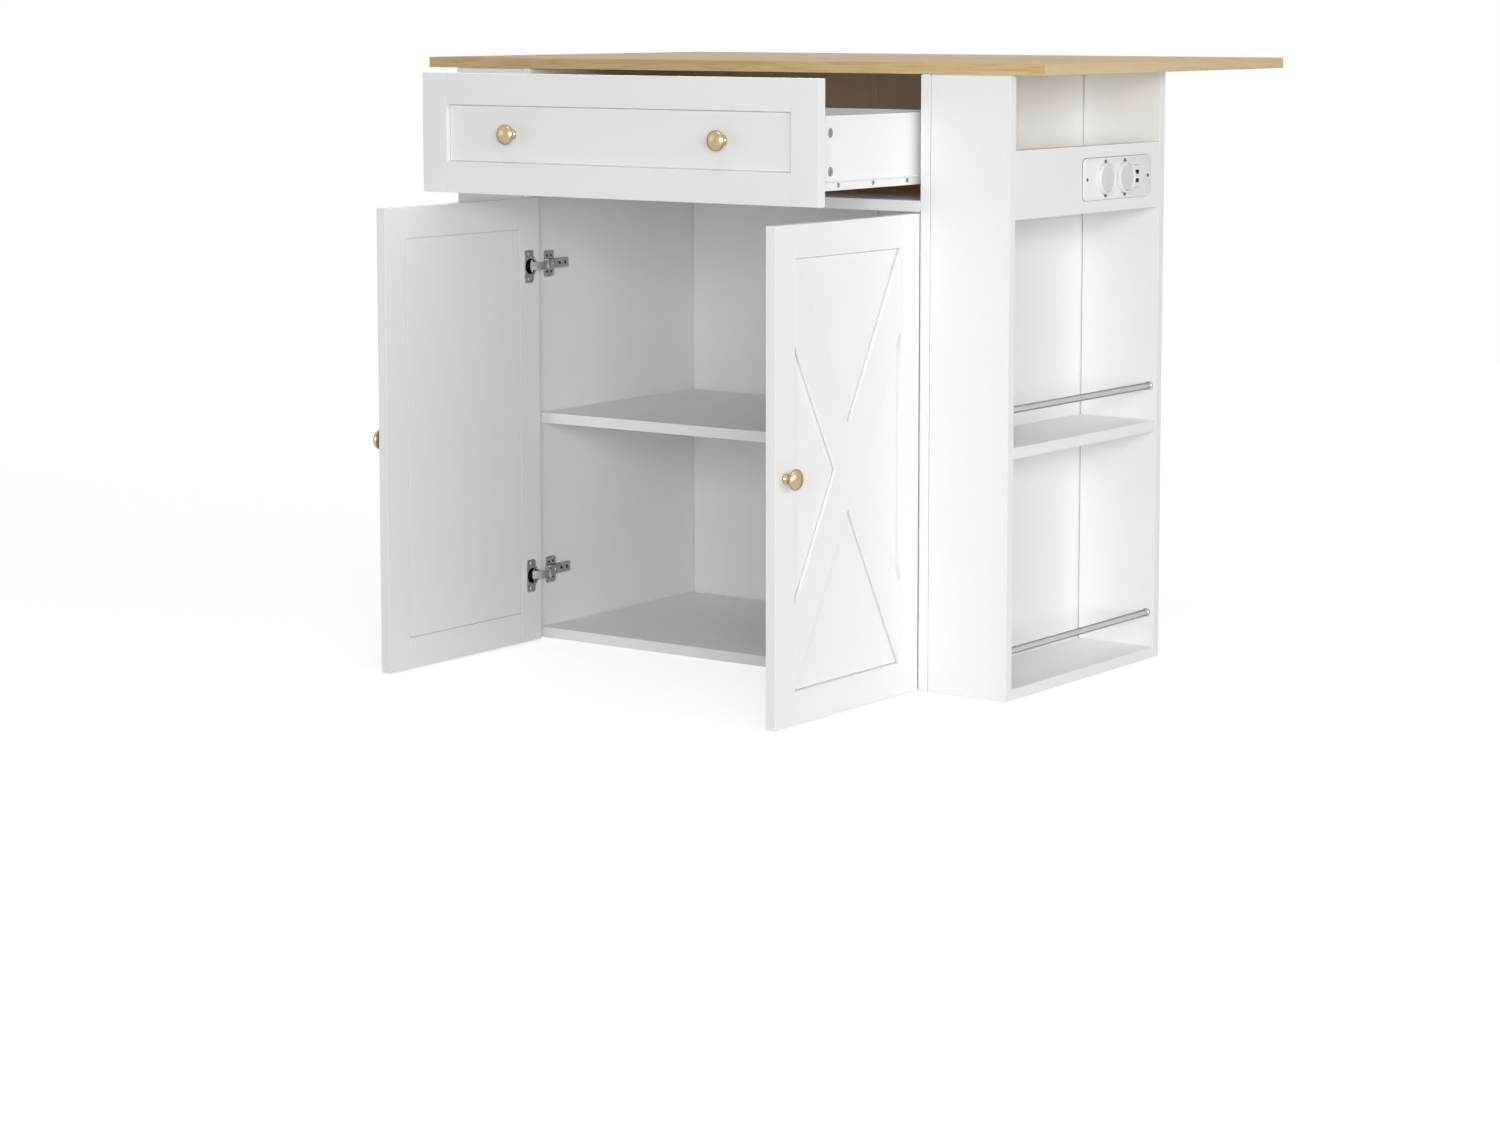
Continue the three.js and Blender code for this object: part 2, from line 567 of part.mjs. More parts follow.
// Drawn cup with its eared flange on the door's inner face, about the hinge's own height.
function cupForm() {
  const x = FRONT_GAP + CUP_FROM_EDGE;
  const face = FRONT_THICKNESS + SEAT_GAP;
  const floor = face - CUP_DEPTH;
  const radius = CUP_DIAMETER / 2;
  const earFar = x + radius;
  const ears = plateXZ(roundedBox(earFar - CUP_FLANGE_WIDTH, -CUP_FLANGE_HEIGHT / 2, earFar,
    CUP_FLANGE_HEIGHT / 2, 3), face, face + CUP_FLANGE);
  const point = plateXZ(outline([[earFar - CUP_FLANGE_WIDTH, 16], [earFar - CUP_FLANGE_WIDTH, -16],
    [x - radius - 3, -5], [x - radius - 3, 5]]), face, face + CUP_FLANGE);
  const deep = CUP_DEPTH + CUP_FLANGE;
  const barrel = rod('y', CUP_DIAMETER, deep, [x, floor + deep / 2, 0], 28);
  const hollow = rod('y', CUP_DIAMETER - 2 * CUP_WALL, deep, [x, floor + CUP_WALL + deep / 2, 0], 28);
  const screws = [-1, 1].map((way) => (
    rod('y', CUP_SCREW_HOLE, 4 * CUP_FLANGE, [x + 3, face, way * CUP_SCREW_PITCH / 2], 10)));
  const cup = cut(join(ears, point, barrel), hollow, ...screws);
  return join(cup, cupPin());
}

// Curved link about the corner line, seen with the door open.
function linkForm() {
  const shape = arcStrip(LINK_RADIUS, LINK_RADIUS + LINK_STEEL, LINK_FROM_DEGREES, LINK_TO_DEGREES);
  return surface(solid(plateXY(shape, -LINK_WIDTH / 2, LINK_WIDTH / 2, 14)));
}

// Winged plate on the side panel, the arm's saddle and tail, and the nose that reaches into the cup.
function armForm() {
  const noseInner = LINK_RADIUS + LINK_STEEL + SEAT_GAP;
  const noseArc = arcStrip(noseInner, noseInner + NOSE_STEEL, NOSE_FROM_DEGREES, NOSE_TO_DEGREES);
  const nose = plateXY(noseArc, -LINK_WIDTH / 2, LINK_WIDTH / 2, 14);
  const plateTo = PLATE_FROM + PLATE_LENGTH;
  const wingFace = roundedBox(PLATE_FROM, -PLATE_HEIGHT / 2, plateTo, PLATE_HEIGHT / 2, 4);
  const wings = plateYZ(wingFace, 0, PLATE_STEEL);
  const side = outline([[1, noseInner + 0.8], [ARM_HEIGHT - 3, noseInner], [ARM_HEIGHT, noseInner + 4],
    [ARM_HEIGHT, plateTo - 6], [ARM_TAIL_HEIGHT, plateTo - 2], [ARM_TAIL_HEIGHT, ARM_END], [0, ARM_END],
    [0, PLATE_FROM + 1]]);
  const saddle = plateXY(side, -ARM_WIDTH / 2, ARM_WIDTH / 2);
  const holes = [];
  for (const z of [-PLATE_SCREW_PITCH / 2, PLATE_SCREW_PITCH / 2]) {
    for (const share of [0.3, 0.72]) {
      holes.push(rod('x', 4.5, 6 * PLATE_STEEL, [0, PLATE_FROM + share * PLATE_LENGTH, z], 10));
    }
  }
  holes.push(rod('x', 5, 20, [0, ARM_END - 22, 0], 10), rod('x', 6, 20, [0, ARM_END - 8, 0], 10));
  return cut(join(wings, saddle, nose), ...holes);
}

function addDoors() {
  for (const [end, side] of SIDES) {
    const corner = new THREE.Group();
    corner.position.x = side * INNER;
    model.add(corner);
    const swing = new THREE.Group();
    swing.rotation.z = side * THREE.MathUtils.degToRad(DOOR_OPEN_DEGREES);
    corner.add(swing);
    addSided(swing, `door_${end}`, side, doorForm(), whiteBoard);
    const knob = add(swing, `door_knob_${end}`, knobForm(), brass);
    const knobX = FRONT_GAP + DOOR_WIDTH - FRAME_WIDTH / 2;
    knob.position.set(-side * knobX, -SEAT_GAP, (DOOR_BOTTOM + DOOR_TOP) / 2);
    for (const [level, z] of hingeHeights()) {
      addSided(swing, `hinge_cup_${level}_${end}`, side, cupForm(), steel).position.z = z;
      addSided(corner, `hinge_link_${level}_${end}`, side, linkForm(), steel).position.z = z;
      addSided(corner, `hinge_arm_${level}_${end}`, side, armForm(), steel).position.z = z;
    }
  }
}

// ---- Drawer and its runners, in the closed position ----

function drawerFrontForm() {
  const half = DRAWER_FRONT_HALF;
  const slab = block([-half, 0, DRAWER_FRONT_BOTTOM], [half, FRONT_THICKNESS, DRAWER_FRONT_TOP]);
  const recess = block([-half + FRAME_WIDTH, -1, DRAWER_FRONT_BOTTOM + FRAME_WIDTH],
    [half - FRAME_WIDTH, DRAWER_RECESS, DRAWER_FRONT_TOP - FRAME_WIDTH]);
  return cut(slab, recess);
}

// Left drawer side with the groove that holds the bottom.
function drawerSideForm() {
  const top = DRAWER_SIDE_BOTTOM + DRAWER_SIDE_HEIGHT;
  const board = block([-DRAWER_OUTER, FRONT_THICKNESS, DRAWER_SIDE_BOTTOM],
    [-DRAWER_OUTER + DRAWER_SIDE, FRONT_THICKNESS + DRAWER_LENGTH, top]);
  const grooveBottom = DRAWER_SIDE_BOTTOM + DRAWER_BOTTOM_LIFT;
  const groove = block([-DRAWER_OUTER + DRAWER_SIDE - DRAWER_GROOVE, FRONT_THICKNESS - 1, grooveBottom],
    [-DRAWER_OUTER + DRAWER_SIDE + 1, FRONT_THICKNESS + DRAWER_LENGTH + 1,
      grooveBottom + DRAWER_BOTTOM_BOARD + SEAT_GAP]);
  return cut(board, groove);
}

// The pressed section of the cabinet runner, open towards the drawer, in x and z.
function cabinetRunnerSection() {
  const x = -INNER;
  const low = ROLLER_CENTRE_Z - ROLLER_DIAMETER / 2 - SEAT_GAP - RUNNER_STEEL;
  const high = ROLLER_CENTRE_Z + ROLLER_DIAMETER / 2 + 5;
  const reach = x + RUNNER_SPACE - RUNNER_STEEL - 2;
  const t = RUNNER_STEEL;
  return outline([[x, low], [reach, low], [reach, low + t], [x + t, low + t], [x + t, high - t],
    [x + 5, high - t], [x + 5, high], [x, high]]);
}

// Screw holes spread evenly along a runner that starts at y = from.
function runnerHoles(from, length, x, z) {
  const pitch = (length - 2 * RUNNER_HOLE_INSET) / (RUNNER_HOLES - 1);
  return Array.from({ length: RUNNER_HOLES }, (_, k) => (
    rod('x', RUNNER_HOLE, 6 * RUNNER_STEEL, [x, from + RUNNER_HOLE_INSET + k * pitch, z], 10)));
}

function cabinetRunnerForm() {
  const start = FRONT_THICKNESS + RUNNER_SETBACK;
  const rail = plateXZ(cabinetRunnerSection(), start, start + RUNNER_LENGTH);
  const axleLength = ROLLER_WIDTH + RUNNER_STEEL + SEAT_GAP;
  const axleX = -INNER + (RUNNER_STEEL + axleLength) / 2;
  const axle = rod('x', ROLLER_AXLE, axleLength, [axleX, rollerY(), ROLLER_CENTRE_Z], 16);
  return cut(join(rail, axle), ...runnerHoles(start, RUNNER_LENGTH, -INNER, ROLLER_CENTRE_Z));
}

function rollerY() {
  return FRONT_THICKNESS + RUNNER_SETBACK + ROLLER_FROM_END + ROLLER_DIAMETER / 2;
}

// Nylon roller at the front of the cabinet runner, drawn about its own axle.
function rollerForm() {
  const bore = ROLLER_AXLE / 2 + SEAT_GAP;
  const rim = ROLLER_DIAMETER / 2;
  const half = ROLLER_WIDTH / 2;
  const profile = [[bore, -half], [rim - 0.8, -half], [rim, -half + 0.8], [rim, half - 0.8],
    [rim - 0.8, half], [bore, half], [bore, -half]];
  const geometry = new THREE.LatheGeometry(profile.map(([r, h]) => new THREE.Vector2(r, h)), 28);
  return surface(solid(geometry.rotateZ(-Math.PI / 2)));
}

// Drawer runner: web on the drawer side, foot under it, flange over the roller, and its own rear roller.
function drawerRunnerForm() {
  const face = -DRAWER_OUTER;
  const t = RUNNER_STEEL;
  const flangeLow = ROLLER_CENTRE_Z + ROLLER_DIAMETER / 2 + SEAT_GAP;
  const foot = DRAWER_SIDE_BOTTOM;
  const underSide = face + DRAWER_SIDE - 1;
  const overRoller = face - RUNNER_FLANGE;
  const section = outline([[face - t, foot - t], [underSide, foot - t], [underSide, foot], [face, foot],
    [face, flangeLow + t], [overRoller, flangeLow + t], [overRoller, flangeLow], [face - t, flangeLow]]);
  const start = FRONT_THICKNESS;
  const rail = plateXZ(section, start, start + DRAWER_LENGTH);
  const rollerFrom = face - t - 1 - ROLLER_WIDTH;
  const y = start + DRAWER_LENGTH - ROLLER_DIAMETER / 2;
  const wheelX = rollerFrom + ROLLER_WIDTH / 2;
  const wheel = rod('x', ROLLER_DIAMETER, ROLLER_WIDTH, [wheelX, y, ROLLER_CENTRE_Z], 28);
  const axleX = face - ROLLER_WIDTH / 2 - t;
  const axle = rod('x', ROLLER_AXLE, ROLLER_WIDTH + 2, [axleX, y, ROLLER_CENTRE_Z], 16);
  return cut(join(rail, wheel, axle), ...runnerHoles(start, DRAWER_LENGTH, face, ROLLER_CENTRE_Z + 3.5));
}

function addDrawer() {
  const drawer = new THREE.Group();
  drawer.position.y = -DRAWER_PULLED;
  model.add(drawer);
  add(drawer, 'drawer_front', drawerFrontForm(), whiteBoard);
  const inner = DRAWER_OUTER - DRAWER_SIDE;
  const bottomZ = DRAWER_SIDE_BOTTOM + DRAWER_BOTTOM_LIFT;
  const bottomTop = bottomZ + DRAWER_BOTTOM_BOARD;
  const rear = FRONT_THICKNESS + DRAWER_LENGTH;
  const bottomHalf = inner + DRAWER_GROOVE - SEAT_GAP;
  const bottom = block([-bottomHalf, FRONT_THICKNESS, bottomZ], [bottomHalf, rear, bottomTop]);
  add(drawer, 'drawer_bottom', bottom, whiteBoard);
  const back = block([-inner, rear - DRAWER_SIDE, bottomTop],
    [inner, rear, DRAWER_SIDE_BOTTOM + DRAWER_SIDE_HEIGHT]);
  add(drawer, 'drawer_back', back, whiteBoard);
  for (const [end, side] of SIDES) {
    addSided(drawer, `drawer_side_${end}`, side, drawerSideForm(), whiteBoard);
    addSided(drawer, `drawer_runner_${end}`, side, drawerRunnerForm(), whiteEnamel);
    const knob = add(drawer, `drawer_knob_${end}`, knobForm(), brass);
    knob.position.set(side * DRAWER_KNOB_OFFSET, DRAWER_RECESS - SEAT_GAP,
      (DRAWER_FRONT_BOTTOM + DRAWER_FRONT_TOP) / 2);
    addSided(model, `cabinet_runner_${end}`, side, cabinetRunnerForm(), whiteEnamel);
    const roller = add(model, `runner_roller_${end}`, rollerForm(), whitePlastic);
    const rollerX = INNER - RUNNER_STEEL - SEAT_GAP - ROLLER_WIDTH / 2;
    roller.position.set(side * rollerX, rollerY(), ROLLER_CENTRE_Z);
  }
}

addCabinet();
addRacks();
addTop();
addDoors();
addDrawer();

export default group;
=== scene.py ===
"""Looks of the kitchen island unit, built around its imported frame. Metres, +Z up, the front faces -Y."""

import math

import bmesh
import bpy
from mathutils import Matrix, Vector


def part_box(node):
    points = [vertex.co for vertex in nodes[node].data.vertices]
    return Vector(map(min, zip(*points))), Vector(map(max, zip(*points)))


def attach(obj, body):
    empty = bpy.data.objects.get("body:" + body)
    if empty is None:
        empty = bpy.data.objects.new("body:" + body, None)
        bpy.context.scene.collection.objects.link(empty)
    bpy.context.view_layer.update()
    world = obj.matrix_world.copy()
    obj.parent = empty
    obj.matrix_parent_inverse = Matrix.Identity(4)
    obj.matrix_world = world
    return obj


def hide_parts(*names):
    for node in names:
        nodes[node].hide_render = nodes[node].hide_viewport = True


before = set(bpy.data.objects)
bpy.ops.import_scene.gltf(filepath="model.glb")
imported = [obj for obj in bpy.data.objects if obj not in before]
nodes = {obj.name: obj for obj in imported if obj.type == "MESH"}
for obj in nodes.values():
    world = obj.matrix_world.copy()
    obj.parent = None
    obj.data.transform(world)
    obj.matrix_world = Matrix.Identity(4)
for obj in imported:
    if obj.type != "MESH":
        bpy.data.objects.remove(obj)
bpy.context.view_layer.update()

SIDES = (("left", -1), ("right", 1))
LEVELS = ("lower", "upper")
WAYS = ((-1, "lower"), (1, "upper"))

# ---- Sizes of the pieces drawn here, in metres ----

EDGE = 0.00045  # soft edge of a lacquered board
SMALL_EDGE = 0.00015  # and of steel and plastic parts
SEAM = 0.0005  # shadow line where two boards lie flush
JOINT = 0.0011  # shadow line where a board meets the face of another
CORNER_JOINT = 0.0016  # and in the upright corners
CORE_DEPTH = 0.003  # most that a core lies under the skin of its board
CORE_SHARE = 0.35  # the same, as a share of a thin board
STRIP_GROOVE = 0.0010  # depth of the grooves beside the back's joint strip
STRIP_PLAY = 0.0001  # between that strip and the boards in front of it

FRAME_WIDTH = 0.046  # stiles and rails of the doors and the drawer's front
DOOR_RECESS = 0.0065  # from the frame's face back to the panel's
DRAWER_RECESS = 0.007
BRACE_FOOT = 0.116  # height of a brace where it meets a stile
BRACE_EDGE = 0.0005
BRACE_SHADOW = 0.0020  # depth of the shadow line under a brace's edge
BRACE_HOLD = 0.0070  # how far the brace's core stays inside its face
CUP_POCKET = 0.0262  # diameter
CUP_POCKET_DEPTH = 0.0125
CUP_POCKET_MOUTH = 0.002  # how far its cutter stands out of the door
CUP_MIDDLE = 0.013  # from the cup plate's edge

BOTTOM_GROOVE = 0.0059  # in the drawer's sides, for its bottom
GROOVE_PLAY = 0.0001
CUTTER_MARGIN = 0.001
CAM_DIAMETER = 0.0116
CAM_HEIGHT = 0.0088
CAM_RECESS = 0.0016
CAM_POCKET = 0.0132  # diameter
CAM_POCKET_DEPTH = 0.009
CAM_SETBACK = 0.029  # from the drawer front's back
CAMS_UP = (0.025, 0.078)  # from the side's lower edge

RAIL_TUBE = 0.005  # radius

SOCKET_PLATE = 0.003
SOCKET_CORNER = 0.008
SOCKET_EDGE = 0.0005
# the gasket is a real part; its dark grey lip is painted shade, the shadow line round the plate
GASKET_THICKNESS = 0.0006
GASKET_LIP = 0.0007  # shows as a line round the plate
SOCKET_BOX_DEPTH = 0.034
SOCKET_BOX_INSET = 0.0123
SOCKET_BOX_EDGE = 0.001
COVER_RADIUS = 0.023
COVER_HEIGHT = 0.007
COVER_RIM = 0.0028
COVER_GAP = 0.0005  # between the rim and its disc
COVER_AT = (0.060, 0.116)  # from the plate's front end
LUG_FOOT, LUG_TIP = 0.0060, 0.0018  # widths
LUG_REACH = 0.0042
LUG_HEIGHT = 0.0020
LUG_GAP = 0.0003
LUG_EDGE = 0.0003
USB_AT = 0.044  # from the plate's rear end
USB_SIZE = (0.020, 0.034)
USB_GAP = 0.0005  # between the block and its window in the plate
USB_LIFT = 0.001  # the block stands this far out of the plate
USB_CORNER = 0.002
USB_PORT = (0.0138, 0.0060)
USB_PORT_PITCH = 0.0126
USB_PORT_DEPTH = 0.0023
USB_PORT_WALL = 0.0006
USB_SHELL_PLAY = 0.0001
USB_SHELL_LIFT = 0.0007
USB_SHELL_CORNER = 0.0005
USB_FLOOR = 0.0018  # depth of a port inside its shell
USB_EDGE = 0.0004
USB_TONGUE = (0.0088, 0.0008)  # width and thickness
USB_TONGUE_LENGTH = 0.0009
USB_TONGUE_DOWN = 0.0010  # its middle under the port's
USB_TONGUE_EDGE = 0.0002

# diameter and height of the screw heads
SOCKET_SCREW = (0.005, 0.001)
CUP_SCREW = (0.0066, 0.001)
ARM_SCREW = (0.0062, 0.001)
ARM_PIN = (0.0052, 0.0022)
PLATE_SCREW = (0.0040, 0.0013)
RUNNER_SCREW = (0.0066, 0.0009)
BRACKET_SCREW = (0.0075, 0.0009)

SOCKET_SCREW_INSET = 0.0095
SOCKET_SCREW_SUNK = 0.0004
CUP_SCREW_AT = (0.010, 0.0195)  # behind the plate's edge, above and below its middle
PLATE_SCREWS_BACK = (0.0392, 0.0493)  # from the arm's rear end
PLATE_SCREW_UP = 0.0125
PLATE_SCREW_LIFT = 0.0006
# each from the arm's rear end, and its foot out from the wall
ARM_SCREW_AT = (0.0405, 0.0090)
ARM_PINS_AT = ((0.022, 0.0033), (0.008, 0.0))
RUNNER_SCREWS = 4
RUNNER_SCREW_INSET = 0.046
RUNNER_SCREW_UP = 0.012
RUNNER_SCREW_LIFT = 0.0011  # just inside the face of the runner's 1.2 mm steel
BRACKET_SCREW_INSET = 0.008
BRACKET_SCREW_LIFT = 0.0018
WALL_LEG_TIP = 0.01
WALL_LEG_SCREWS = (0.1, 0.5, 0.9)  # shares of the leg's length
SHELF_LEG_SCREWS = (0.14, 0.52, 0.92)

# angles over which an edge is shaded as an edge, in degrees
SHARP_BOARD = 12.0
SHARP_SMALL = 28.0
SHARP_PLATE = 30.0
SHARP_SCREW = 35.0
SHARP_COVER = 40.0
SHARP_TURNED = 50.0
EASED_ANGLE = 40  # the edges of a CAD piece that get a soft edge
WELD_REACH = 1e-5

# ---- Materials ----


class Finish:
    """A procedural material: nodes are added to it and wired into its Principled shader."""

    def __init__(self, name, roughness, metallic=0.0, edge_tint=None):
        self.material = bpy.data.materials.new(name)
        self.material.use_nodes = True
        self.tree = self.material.node_tree
        self.shader = self.tree.nodes["Principled BSDF"]
        self.shader.inputs["Roughness"].default_value = roughness
        self.shader.inputs["Metallic"].default_value = metallic
        if edge_tint:
            self.shader.inputs["Specular Tint"].default_value = (*edge_tint, 1.0)
        self.coords = self.node("ShaderNodeTexCoord").outputs

    def node(self, kind, **values):
        made = self.tree.nodes.new(kind)
        for key, value in values.items():
            setattr(made, key, value)
        return made

    def link(self, output, target):
        self.tree.links.new(output, target)

    def stretched(self, scale, vector=None):
        mapping = self.node("ShaderNodeMapping")
        mapping.inputs["Scale"].default_value = scale
        self.link(vector or self.coords["Object"], mapping.inputs["Vector"])
        return mapping.outputs["Vector"]

    def noise(self, scale, stretch=(1, 1, 1), detail=3.0, rough=0.5, warp=0.0, vector=None):
        made = self.node("ShaderNodeTexNoise")
        made.inputs["Scale"].default_value = scale
        made.inputs["Detail"].default_value = detail
        made.inputs["Roughness"].default_value = rough
        made.inputs["Distortion"].default_value = warp
        self.link(self.stretched(stretch, vector), made.inputs["Vector"])
        return made.outputs["Fac"]

    def ramp(self, factor, *stops):
        made = self.node("ShaderNodeValToRGB")
        elements = made.color_ramp.elements
        while len(elements) < len(stops):
            elements.new(0.5)
        for element, (place, colour) in zip(elements, stops):
            element.position = place
            element.color = (*colour, 1.0)
        self.link(factor, made.inputs["Fac"])
        return made.outputs["Color"]

    def blend(self, kind, factor, first, second):
        made = self.node("ShaderNodeMix", data_type="RGBA", blend_type=kind)
        for socket, value in (("Factor", factor), ("A", first), ("B", second)):
            target = [s for s in made.inputs if s.name == socket and s.enabled][0]
            if hasattr(value, "is_linked"):
                self.link(value, target)
            else:
                target.default_value = value
        return [s for s in made.outputs if s.enabled][0]

    def between(self, value, start, end):
        """0 before start, 1 past end, and a smooth change from one to the other."""
        made = self.node("ShaderNodeMapRange", interpolation_type="SMOOTHSTEP")
        made.inputs["From Min"].default_value = min(start, end)
        made.inputs["From Max"].default_value = max(start, end)
        made.inputs["To Min"].default_value = 0.0 if start < end else 1.0
        made.inputs["To Max"].default_value = 1.0 if start < end else 0.0
        self.link(value, made.inputs["Value"])
        return made.outputs["Result"]

    def math(self, operation, first, second=None):
        made = self.node("ShaderNodeMath", operation=operation)
        self.link(first, made.inputs[0])
        if second is not None:
            self.link(second, made.inputs[1])
        return made.outputs[0]

    def axis(self, name, source="Object"):
        split = self.node("ShaderNodeSeparateXYZ")
        self.link(self.coords[source], split.inputs[0])
        return split.outputs[name]

    def spread(self, factor, low, high):
        made = self.node("ShaderNodeMapRange")
        made.inputs["To Min"].default_value = low
        made.inputs["To Max"].default_value = high
        self.link(factor, made.inputs["Value"])
        return made.outputs["Result"]

    def colour(self, output):
        self.link(output, self.shader.inputs["Base Color"])

    def roughness(self, factor, low, high):
        self.link(self.spread(factor, low, high), self.shader.inputs["Roughness"])

    def bump(self, height, strength, distance):
        made = self.node("ShaderNodeBump")
        made.inputs["Strength"].default_value = strength
        made.inputs["Distance"].default_value = distance
        self.link(height, made.inputs["Height"])
        self.link(made.outputs["Normal"], self.shader.inputs["Normal"])


WHITE = (0.882, 0.882, 0.880), (0.905, 0.905, 0.903)
# painted shade: the dim, warm light deep in the drawer's bay, painted as a tan
BAY_SHADE_TAN = (0.91, 0.71, 0.52, 1.0)
# where white turns to the tan painted shade in the drawer's bay: each side of the middle, then upwards over
# the divider, inwards from the front, and forwards from the rear face of the back
BAY_SHADE_WIDTH = (0.365, 0.363)
BAY_SHADE_LIMITS = (("Z", 0.701, 0.7045), ("Y", -0.12, 0.02), ("Y", 0.1975, 0.1965))
# painted shade: the hinge cups turn near-black this far out
CUP_SHADE_FROM = 0.3400  # from the middle plane outwards


def lacquer(name="white_lacquer"):
    """Smooth white lacquer with a faint unevenness in tone, sheen and surface."""
    finish = Finish(name, 0.4)
    white = finish.ramp(finish.noise(3.0, detail=2.0), (0.3, WHITE[0]), (0.7, WHITE[1]))
    finish.colour(white)
    finish.roughness(finish.noise(28.0), 0.34, 0.46)
    finish.bump(finish.noise(900.0, detail=1.0), 0.04, 0.0001)
    return finish, white


def bay_shade_lacquer():
    """The same lacquer, with a tan painted shade deep in the drawer's bay, warm like light bounced from the
    oak.
    """
    finish, white = lacquer("bay_shade_lacquer")
    inside = finish.between(finish.math("ABSOLUTE", finish.axis("X")), *BAY_SHADE_WIDTH)
    for axis, start, end in BAY_SHADE_LIMITS:
        inside = finish.math("MULTIPLY", inside, finish.between(finish.axis(axis), start, end))
    # painted shade: the tan with a faint mottle, mixed in over the bay's mask
    grain = finish.ramp(finish.noise(40.0, detail=4.0), (0.35, (0.96, 0.95, 0.94)), (0.65, (1.0, 1.0, 1.0)))
    painted_tan = finish.blend("MULTIPLY", 0.6, BAY_SHADE_TAN, grain)
    finish.colour(finish.blend("MIX", inside, white, painted_tan))
    return finish.material


def oak():
    """Pale oak with its grain along the length, and paler bands on the two ends."""
    finish = Finish("pale_oak", 0.5)
    on_end = finish.math("ABSOLUTE", finish.axis("X", "Normal"))
    lengthwise = finish.stretched((1.0, 14.0, 22.0))
    endwise = finish.stretched((14.0, 1.0, 22.0))
    grain = finish.blend("MIX", on_end, lengthwise, endwise)
    broad = finish.noise(2.2, detail=3.0, warp=0.6, vector=grain)
    fibre = finish.noise(16.0, detail=8.0, rough=0.62, warp=0.25, vector=grain)
    pores = finish.noise(70.0, stretch=(0.35, 1.0, 1.0), detail=2.0, vector=grain)
    tones = (0.3, (0.59, 0.425, 0.207)), (0.55, (0.685, 0.51, 0.268)), (0.75, (0.735, 0.56, 0.315))
    base = finish.ramp(broad, *tones)
    shades = (0.36, (0.80, 0.76, 0.70)), (0.52, (1.0, 1.0, 1.0)), (0.7, (1.06, 1.06, 1.08))
    streaks = finish.ramp(fibre, *shades)
    dark = finish.ramp(pores, (0.3, (0.82, 0.77, 0.7)), (0.4, (1.0, 1.0, 1.0)))
    face = finish.blend("MULTIPLY", 0.75, base, streaks)
    face = finish.blend("MULTIPLY", 0.6, face, dark)
    ends = finish.blend("MIX", 0.55, face, (0.77, 0.64, 0.43, 1.0))
    finish.colour(finish.blend("MIX", on_end, face, ends))
    finish.roughness(fibre, 0.55, 0.72)
    finish.shader.inputs["Specular IOR Level"].default_value = 0.03
    finish.bump(fibre, 0.25, 0.0003)
    return finish.material


def champagne_brass():
    """Pale satin brass."""
    finish = Finish("champagne_brass", 0.24, metallic=1.0, edge_tint=(0.34, 0.28, 0.20))
    tone = finish.noise(90.0, detail=2.0)
    finish.colour(finish.ramp(tone, (0.35, (0.49, 0.395, 0.235)), (0.65, (0.55, 0.45, 0.28))))
    finish.roughness(finish.noise(260.0, detail=4.0), 0.18, 0.3)
    finish.bump(finish.noise(1500.0, detail=2.0), 0.05, 0.0001)
    return finish.material


def nickel_steel(name="nickel_plated_steel", deep=None):
    """Nickel plating. Where a depth from the middle plane is given, the colour turns near-black past it:
    painted shade for the unlit inside of a hinge cup.
    """
    finish = Finish(name, 0.28, metallic=1.0, edge_tint=(0.4, 0.4, 0.41))
    tone = finish.noise(120.0, detail=3.0)
    bright = finish.ramp(tone, (0.35, (0.56, 0.56, 0.565)), (0.65, (0.67, 0.67, 0.675)))
    if deep:
        # painted shade past that depth
        inside = finish.between(finish.math("ABSOLUTE", finish.axis("X")), deep, deep + 0.0012)
        bright = finish.blend("MIX", inside, bright, (0.08, 0.08, 0.082, 1.0))
    finish.colour(bright)
    finish.roughness(finish.noise(350.0, detail=5.0), 0.2, 0.38)
    finish.bump(finish.noise(1100.0, stretch=(1, 1, 6), detail=2.0), 0.06, 0.0001)
    return finish.material


def dull_steel(name="dull_steel", roughness=(0.36, 0.5)):
    """Zinc-plated steel without a polish."""
    finish = Finish(name, sum(roughness) / 2, metallic=1.0, edge_tint=(0.4, 0.4, 0.41))
    tone = finish.noise(160.0, detail=3.0)
    finish.colour(finish.ramp(tone, (0.35, (0.34, 0.34, 0.345)), (0.65, (0.42, 0.42, 0.425))))
    finish.roughness(finish.noise(350.0, detail=5.0), *roughness)
    finish.bump(finish.noise(1100.0, stretch=(1, 1, 6), detail=2.0), 0.06, 0.0001)
    return finish.material


def black_zinc():
    """Black passivated screws."""
    finish = Finish("black_zinc", 0.35, metallic=1.0)
    tone = finish.noise(200.0, detail=3.0)
    finish.colour(finish.ramp(tone, (0.35, (0.05, 0.05, 0.052)), (0.65, (0.09, 0.09, 0.092))))
    finish.roughness(finish.noise(350.0, detail=3.0), 0.28, 0.44)
    return finish.material


def polished_tube():
    """Bright tube, polished along its length."""
    finish = Finish("polished_tube", 0.16, metallic=1.0, edge_tint=(0.2, 0.2, 0.205))
    tone = finish.noise(40.0, stretch=(1, 0.05, 1), detail=3.0)
    finish.colour(finish.ramp(tone, (0.35, (0.58, 0.585, 0.59)), (0.65, (0.66, 0.665, 0.67))))
    finish.roughness(finish.noise(700.0, stretch=(1, 0.03, 1), detail=4.0), 0.12, 0.24)
    return finish.material


def enamel():
    """White enamelled sheet steel."""
    finish = Finish("white_enamel", 0.3)
    tone = finish.noise(30.0, detail=2.0)
    finish.colour(finish.ramp(tone, (0.3, WHITE[0]), (0.7, WHITE[1])))
    finish.roughness(finish.noise(160.0, detail=3.0), 0.24, 0.36)
    finish.bump(finish.noise(1600.0, detail=1.0), 0.08, 0.0001)
    return finish.material


